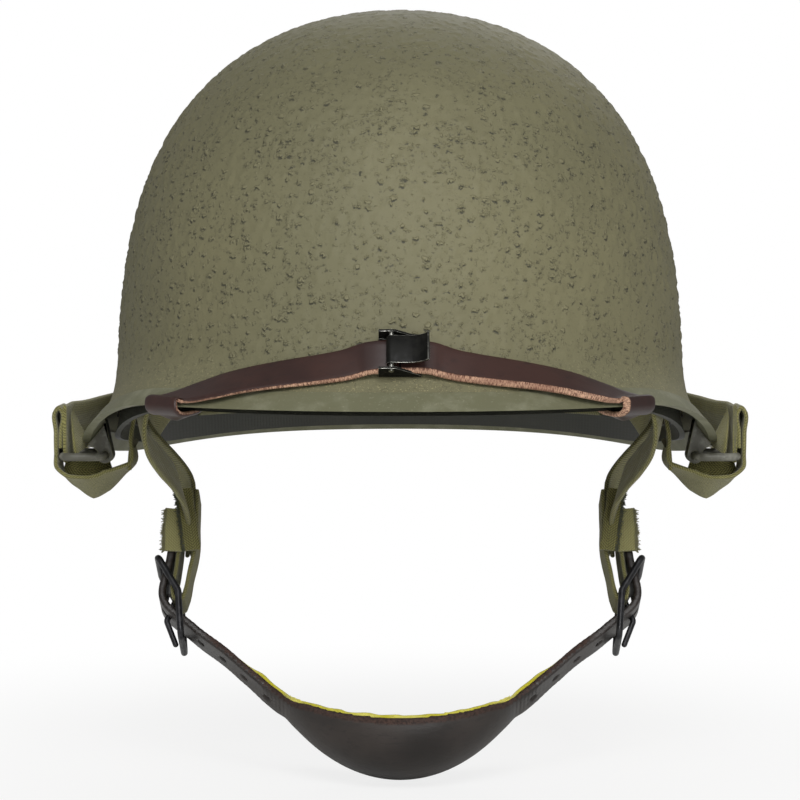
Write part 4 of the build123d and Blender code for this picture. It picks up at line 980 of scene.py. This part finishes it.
def rear_web(name, end_x):
    """A left web: its run from the bail to the middle of the rear, its sewn fold and turned corner."""
    outer_x = BAIL_X - BAR_WRAP
    fold = [(outer_x + x, BAIL_Y, BAIL_Z + z) for x, z in (
        (0, 0.3), (-0.15, 9), (0, FOLD_HEIGHT), (0.95, FOLD_HEIGHT + 0.9), (1.9, FOLD_HEIGHT), (1.8, 9),
        (1.7, 3.2))]
    sewn_end = strap(name + "_fold", route(fold, Vector((0, 1, 0)), 6), FOLD_WIDTH, WEB_THICK, waver=0.15)
    inner_x = outer_x + FOLD_LAYERS
    points = [(inner_x, -22.5, -14.8), (inner_x, BAIL_Y, -14.8), (inner_x + 0.6, BAIL_Y + 11, -14.4)]
    acrosses = [-UP] * 3
    for share, height in ((0.3, 16.5), (0.42, 18.3), (0.54, 18.3), (0.66, 17.8), (0.78, 17.3), (0.88, 17),
                          (1, REAR_WEB_HEIGHT)):
        centre, across = laid(math.pi - share * math.pi / 2, height)
        points.append(centre)
        acrosses.append(-across)
    points[-1].x = end_x
    web = strap(name + "_run", route(points, acrosses, 8), REAR_WEB_WIDTH, WEB_THICK, waver=0.2)
    corner = [Vector((-125.4, -17.5, -6.0)), Vector((-124.2, -16.6, -11.5)), Vector((-121.6, -15, -21.0))]
    turned = strap(name + "_corner", route(corner, Vector((0.42, 0.9, 0)), 6), CORNER_WIDTH,
                   CORNER_THICK, waver=0.1)
    for point in turned.data.vertices:
        run = min(max((corner[0].z - point.co.z / MM) / (corner[0].z - corner[2].z), 0), 1)
        middle = corner[0].lerp(corner[2], run)
        narrow = 0.15 + 0.85 * run
        point.co.x = (middle.x + (point.co.x / MM - middle.x) * narrow) * MM
        point.co.y = (middle.y + (point.co.y / MM - middle.y) * narrow) * MM
    return joined(name, [web, sewn_end, turned])


left_rear = rear_web("left_stowed_web", JOIN_X - WEB_THICK)
right_rear = mirror_across(rear_web("left_stowed_web_copy", JOIN_X - 2 * WEB_THICK), "right_stowed_web")
bpy.data.objects.remove(bpy.data.objects["left_stowed_web_copy"])
for piece, hand, side in ((left_rear, "left", -1), (right_rear, "right", 1)):
    paint_on(piece, yoke_webbing)
    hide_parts(hand + "_web_chinstrap")
    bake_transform(piece)


# Rear hook and slider: a steel plate on the left web whose curled end takes the wire slider of
# the right one, so the two webs close behind the shell.
eased("hook_plate", "rear_hook", "steel_shell", 0.2, dark_enamel, worn_edge)
paint_on(nodes["rear_slider"], black_wire)


# Snap tabs: a short web from each bail that sags under the brim and climbs inside the liner,
# where a snap at its folded end is pressed onto the socket.
TAB_WIDTH, TAB_Y, TAB_HEIGHT = 20, -13.6, 0.8 * SEAT_ABOVE_RIM
TAB_END_WIDTH, TAB_PLY_WIDTH = 18, 8.5
SNAP_RADIUS, SNAP_HEIGHT = 6.2, 2.2
tab_wall, tab_out, tab_side, tab_rise = wall_frame(wall_angle(TAB_Y, TAB_HEIGHT), TAB_HEIGHT,
                                                   LINER_INSIDE, LINER_BRIM)
tab_seat = tab_wall - tab_out * (SNAP_HEIGHT + REST + WEB_THICK / 2)


def snap_tab(name):
    """A left tab: its sagging run, its turned end and the ply inside the fold at the bail."""
    front = [(-131.2, -22, -23.0), (-130.9, -22, -27.5), (-127, -22, -30.6), (-121.9, -22, -31.2),
             (-117, -21.5, -30.5), (-112.8, -21, -29.3), (-107, -20.6, -27.9), (-103, -20.4, -26.0)]
    rear = [(-131.2, -2, -23.0), (-130.6, -2, -29.5), (-128, -3, -33.8), (-123.8, -4, -36.9),
            (-118.6, -4.5, -40.6), (-112.5, -4.8, -37.0), (-106.8, -5, -31.0), (-102.8, -5, -27.0)]
    points = [(Vector(near) + Vector(far)) / 2 for near, far in zip(front, rear)]
    acrosses = [(Vector(far) - Vector(near)).normalized() for near, far in zip(front, rear)]
    flat = tab_side * math.copysign(1, tab_side.y)
    points += [tab_seat + tab_rise * (climb * SNAP_RADIUS) for climb in (-1.6, -1.15, 0, 0.8)]
    acrosses += [flat] * 4
    web = strap(name + "_run", route(points, acrosses, 8), TAB_WIDTH, WEB_THICK, waver=0.25, square=False)
    end = [(-103.9, -12.6, -28.2), (-103.7, -12.8, -24.5), (-103.0, -13, -20.6), (-101.6, -13.2, -18.8)]
    turned = strap(name + "_turned_end", route(end, flat, 5), TAB_END_WIDTH, WEB_THICK, waver=0.15)
    ply = [(-129.3, -5, -26.8), (-125, -4, -28.2), (-119, -3, -28.4), (-112.5, -2, -26.4)]
    upright = UP + Vector((0, 0.25, 0))
    inner_ply = strap(name + "_inner_ply", route(ply, upright, 5), TAB_PLY_WIDTH, WEB_THICK, waver=0.2)
    return joined(name, [web, turned, inner_ply])


left_tab = snap_tab("left_tab_web")
paint_on(left_tab, yoke_webbing)
right_tab = mirror_across(left_tab, "right_tab_web")
for piece, hand, side in ((left_tab, "left", -1), (right_tab, "right", 1)):
    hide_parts(hand + "_snap_tab")
    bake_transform(piece)


# Liner chinstrap: two halves of 13 mm brown leather stowed over the visor, joined by a cam clip.
# The grain side is smooth and waxed; the cut edge and the flesh side are pale, fuzzy and unfinished.
LEATHER_WIDTH, LEATHER_THICK, LEATHER_RISE = 13.0, 1.9, 17.5
EDGING_STAND, EDGING_FIT = 0.62, 0.12
STUD_Y, STUD_HEIGHT, STUD_STAND = -82.95, 30.68, 0.6
END_CLIP_LENGTH = 13.0
RIM_SHARE, SAG, EDGING_SHARES, LIFT_SHARES = 0.16, 2.7, (0.32, 0.64), (0.78, 0.9)
CLIP_HALF_PLATE, CLIP_WALL, END_CLIP_WALL = 7.6, 0.8, 1.0
leather_start = math.radians(229)
clip_angle = 3 * math.pi / 2
visor_tip = -SHELL_FRONT - SHELL_BRIM.visor_flare
clip_height = edge_height(visor_tip, SHELL_BRIM) + LEATHER_RISE - LEATHER_THICK / 2
clip_base, clip_normal, _, clip_rise = wall_frame(clip_angle, clip_height, 0, SHELL_BRIM)


def visor_bow(half_width):
    """How far the visor rises towards the edges of something flat at the clip's place."""
    climbs = [clip_height + way * half_width * clip_rise.z for way in (-1, 1)]
    return max((skin(clip_angle, climb, 0, SHELL_BRIM) - clip_base).dot(clip_normal) for climb in climbs)


leather_standoff = visor_bow(LEATHER_WIDTH / 2) + REST + EDGING_FIT
clip_lift = visor_bow(CLIP_HALF_PLATE) + REST + CLIP_WALL + REST + EDGING_FIT - leather_standoff


def leather_station(share):
    """Centre and outward direction of the strap, from the rim (0) to the middle of the visor (1).
    It climbs steeply from the rim, sags a little below a plain arc, and rises over the clip's plate."""
    angle = leather_start + (clip_angle - leather_start) * share
    edge = edge_height(skin(angle, SEAT_ABOVE_RIM, 0, SHELL_BRIM).y, SHELL_BRIM)
    arc = math.sin(share * math.pi / 2) ** 0.95
    height = edge + (clip_height - edge) * arc * ease(share, 0, RIM_SHARE)
    height -= SAG * ease(share, 0, 0.22) * (1 - 0.66 * ease(share, 0.7, 0.9))
    stand = leather_standoff + LEATHER_THICK / 2 + clip_lift * ease(share, *LIFT_SHARES)
    stand += (EDGING_STAND + 2 * REST) * (1 - ease(share, *EDGING_SHARES))
    stand -= 1.05 * (1 - ease(share, 0.1, 0.26))
    here, out = wall_frame(angle, height, 0, SHELL_BRIM)[:2]
    return here + out * stand, out


def leather_half(name):
    """The left half: from its stud inside the liner, round the rim's edging, to the clip."""
    stud_wall, stud_out = wall_frame(wall_angle(STUD_Y, STUD_HEIGHT), STUD_HEIGHT,
                                     LINER_INSIDE, LINER_BRIM)[:2]
    turn = EDGING_STAND + REST + LEATHER_THICK / 2
    rim_out = skin(leather_start, edge_height(SHELL_FRONT * math.sin(leather_start), SHELL_BRIM), 0,
                   SHELL_BRIM)
    radial = Vector((rim_out.x, rim_out.y, 0)).normalized()
    along_rim = -wall_frame(leather_start, SEAT_ABOVE_RIM + 1, 0, SHELL_BRIM)[2]
    rim_under = rim_out - UP * (1.6 * turn) - radial * 4.2
    pull = rim_under - stud_wall
    pull = (pull - stud_out * pull.dot(stud_out)).normalized()
    start = stud_wall - stud_out * (STUD_STAND + END_CLIP_WALL + REST + LEATHER_THICK / 2)
    outside, outside_normal = leather_station(0)
    points = [start + pull * (END_CLIP_LENGTH / 2), start + pull * 9.2, rim_under,
              rim_out - UP * (1.3 * turn) - radial * (0.1 * turn),
              rim_out - UP * (0.5 * turn) + radial * (0.9 * turn),
              outside - UP * 0.1 + radial * (0.25 * turn)]
    normals = [-stud_out, -stud_out, -UP - radial * 0.4, -UP, radial - UP * 0.6, outside_normal]
    slants = [0, 0.3, 1, 1, 1, 1]
    for share in (0.05, 0.1, 0.17, 0.26, 0.36, 0.48, 0.58, 0.68, 0.78, 0.82, 0.86, 0.9, 1):
        centre, out = leather_station(share)
        points.append(centre)
        normals.append(out)
        slants.append(1 - ease(share, 0, 0.27))
    points[-1] = points[-1] - Vector((REST, 0, 0))
    acrosses = [square_across * (1 - slant) + along_rim * (1.36 * slant)
                for square_across, slant in zip(facing_along(points, normals), slants)]
    return strap(name, route(points, acrosses, 8), LEATHER_WIDTH, LEATHER_THICK, waver=0.06, turns=6,
                 square=False)


left_leather = leather_half("left_leather_strap")
harness_leather, tree, place = new_material("waxed_harness_leather", IOR=1.5)
flat_place = add(tree, "TexCoord", [], "UV")
along = add(tree, "SeparateXYZ", [place], "X")
round_it = add(tree, "SeparateXYZ", [flat_place], "Y")
stretched = add(tree, "Mapping", {"Vector": place, "Scale": (0.3, 1, 1)})
combed = add(tree, "Mapping", {"Vector": flat_place, "Scale": (2.6, 0.5, 1)})
crease = add(tree, "TexNoise", {"Vector": stretched, "Scale": 420, "Detail": 4, "Distortion": 0.6})
shade = add(tree, "TexNoise", {"Vector": place, "Scale": 45, "Detail": 3})
nap = add(tree, "TexNoise", {"Vector": place, "Scale": 1300, "Detail": 4, "Roughness": 0.75})
hairs = add(tree, "TexNoise", {"Vector": combed, "Scale": 1100, "Detail": 3, "Roughness": 0.7})
# The raw lower edge is ragged by the nap and wider on the right, and the upper edge is only rubbed.
flat_run = LEATHER_WIDTH - LEATHER_THICK
raw_from = (2 * flat_run + LEATHER_THICK / 2 * math.pi + 0.45) * MM
ragged = add(tree, "Math", [nap, 0.0014, round_it], operation="MULTIPLY_ADD")
wider = add(tree, "MapRange", [along, -0.08, 0.03, -0.0013, 0.0012], interpolation_type="SMOOTHSTEP")
ragged = add(tree, "Math", [ragged, wider], operation="ADD")
lower_edge = add(tree, "MapRange", [ragged, raw_from, raw_from + 0.0003], interpolation_type="SMOOTHSTEP")
upper_edge = add(tree, "MapRange", [round_it, 0.0108, 0.0114], interpolation_type="SMOOTHSTEP")
upper_edge = faded(tree, upper_edge, round_it, 0.0139, 0.0133)
upper_edge = add(tree, "Math", [upper_edge, 0.25], operation="MULTIPLY")
is_raw = add(tree, "Math", [lower_edge, upper_edge], operation="MAXIMUM")
grain_side = layer(tree, "2c1814", "3a221c", shade, 0.35, 0.7)
# Painted shade: the hollows of the creases on the grain side are drawn darker.
grain_side = layer(tree, grain_side, "241613", crease, 0.3, 0.45, 0.4, 0.0)
flesh = layer(tree, "5b382d", "d9b092", hairs, 0.36, 0.64)
flesh = layer(tree, flesh, "7a5242", shade, 0.45, 0.7, 0.0, 0.5)
flesh = layer(tree, flesh, "4a2c23", ragged, raw_from + 0.0007, raw_from + 0.0001)
rough = add(tree, "MapRange", [is_raw, 0.0, 1.0, 0.4, 0.95], interpolation_type="SMOOTHSTEP")
relief = add(tree, "Math", [nap, is_raw], operation="MULTIPLY")
relief = add(tree, "Math", [crease, 0.25, relief], operation="MULTIPLY_ADD")
finish_surface(tree, layer(tree, grain_side, flesh, is_raw), relief, 0.6, 0.4, rough)
paint_on(left_leather, harness_leather)
right_leather = mirror_across(left_leather, "right_leather_strap")
for piece, hand in ((left_leather, "left"), (right_leather, "right")):
    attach(piece, "steel_shell")
    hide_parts(hand + "_liner_chinstrap")
eased("end_clips", "strap_end_clips", "steel_shell", 0.15, dark_enamel, worn_edge)


# Cam clip: a folded channel of black enamelled steel round the two strap ends, with a curled
# lever on a cross pin that bites them. Its edges are rubbed to bare steel.
eased("cam_clip_channel", "clip_frame", "steel_shell", 0.16, dark_enamel, worn_edge)
eased("cam_clip_lever", "clip_lever", "clip_lever", 0.16, dark_enamel, worn_edge)
paint_on(nodes["clip_lever_pin"], worn_edge)


# Floor and background: a plain pale sheet under the helmet. Seen straight on it is nearly white,
# and it keeps the soft shadow.
FLOOR_SIZE, FLOOR_DROP = 6, 0.002
deselect()
bpy.ops.mesh.primitive_plane_add(size=FLOOR_SIZE, location=(0, 0, cad_box[0].z - FLOOR_DROP))
floor = bpy.context.object
floor.name = "floor"
pale, tree, place = new_material("pale_paper", Roughness=0.9, Base_Color=hex_colour("f4f4f2"))
seen = add(tree, "LightPath", [], "Is Camera Ray")
glow = add(tree, "Emission", {"Color": (1, 1, 1, 1), "Strength": 1.0})
away = add(tree, "VectorMath", [place], "Value", operation="LENGTH")
share = faded(tree, seen, away, 0.12, 0.4, 0.8, 1.0)
paper = tree.nodes["Principled BSDF"].outputs[0]
mixed = add(tree, "MixShader", [share, paper, glow])
tree.links.new(mixed, tree.nodes["Material Output"].inputs["Surface"])
paint_on(floor, pale)

world = bpy.data.worlds.new("studio")
bpy.context.scene.world = world
world.use_nodes = True
tree = world.node_tree
seen = add(tree, "LightPath", [], "Is Camera Ray")
seen = add(tree, "Math", [seen, seen.node.outputs["Is Transmission Ray"]], operation="MAXIMUM")
room = tree.nodes["Background"]
room.inputs["Color"].default_value = (1, 1, 1, 1)
room.inputs["Strength"].default_value = 0.3
white = add(tree, "Background", {"Color": (1, 1, 1, 1), "Strength": 1.0})
mixed = add(tree, "MixShader", [seen, room.outputs[0], white])
tree.links.new(mixed, tree.nodes["World Output"].inputs["Surface"])


def softbox(name, place, target, size, power):
    """A large square lamp that faces the target."""
    deselect()
    bpy.ops.object.light_add(type="AREA", location=place)
    lamp = bpy.context.object
    lamp.name = name
    lamp.data.shape = "SQUARE"
    lamp.data.size = size
    lamp.data.energy = power
    lamp.rotation_mode = "QUATERNION"
    lamp.rotation_quaternion = (Vector(target) - Vector(place)).to_track_quat("-Z", "Y")


softbox("key_softbox", (0.05, -1.4, 1.0), (0, 0, 0.02), 0.8, 18)
softbox("low_fill", (0.35, -1.5, 0.0), (0, 0, 0), 0.6, 4)
softbox("back_fill", (0.2, 1.4, 1.0), (0, 0, 0), 1.0, 8)

# The camera stands 1.2 m in front and 3 degrees above, with a long lens.
deselect()
bpy.ops.object.camera_add(location=(0, -1.1984, 0.0598))
camera = bpy.context.object
camera.name = "photo_camera"
camera.data.lens = 139.14
camera.data.sensor_width = 36
camera.rotation_mode = "QUATERNION"
camera.rotation_quaternion = (Vector((0, 0, -0.003)) - camera.location).to_track_quat("-Z", "Y")
bpy.context.scene.camera = camera
bpy.context.scene.view_settings.view_transform = "Standard"
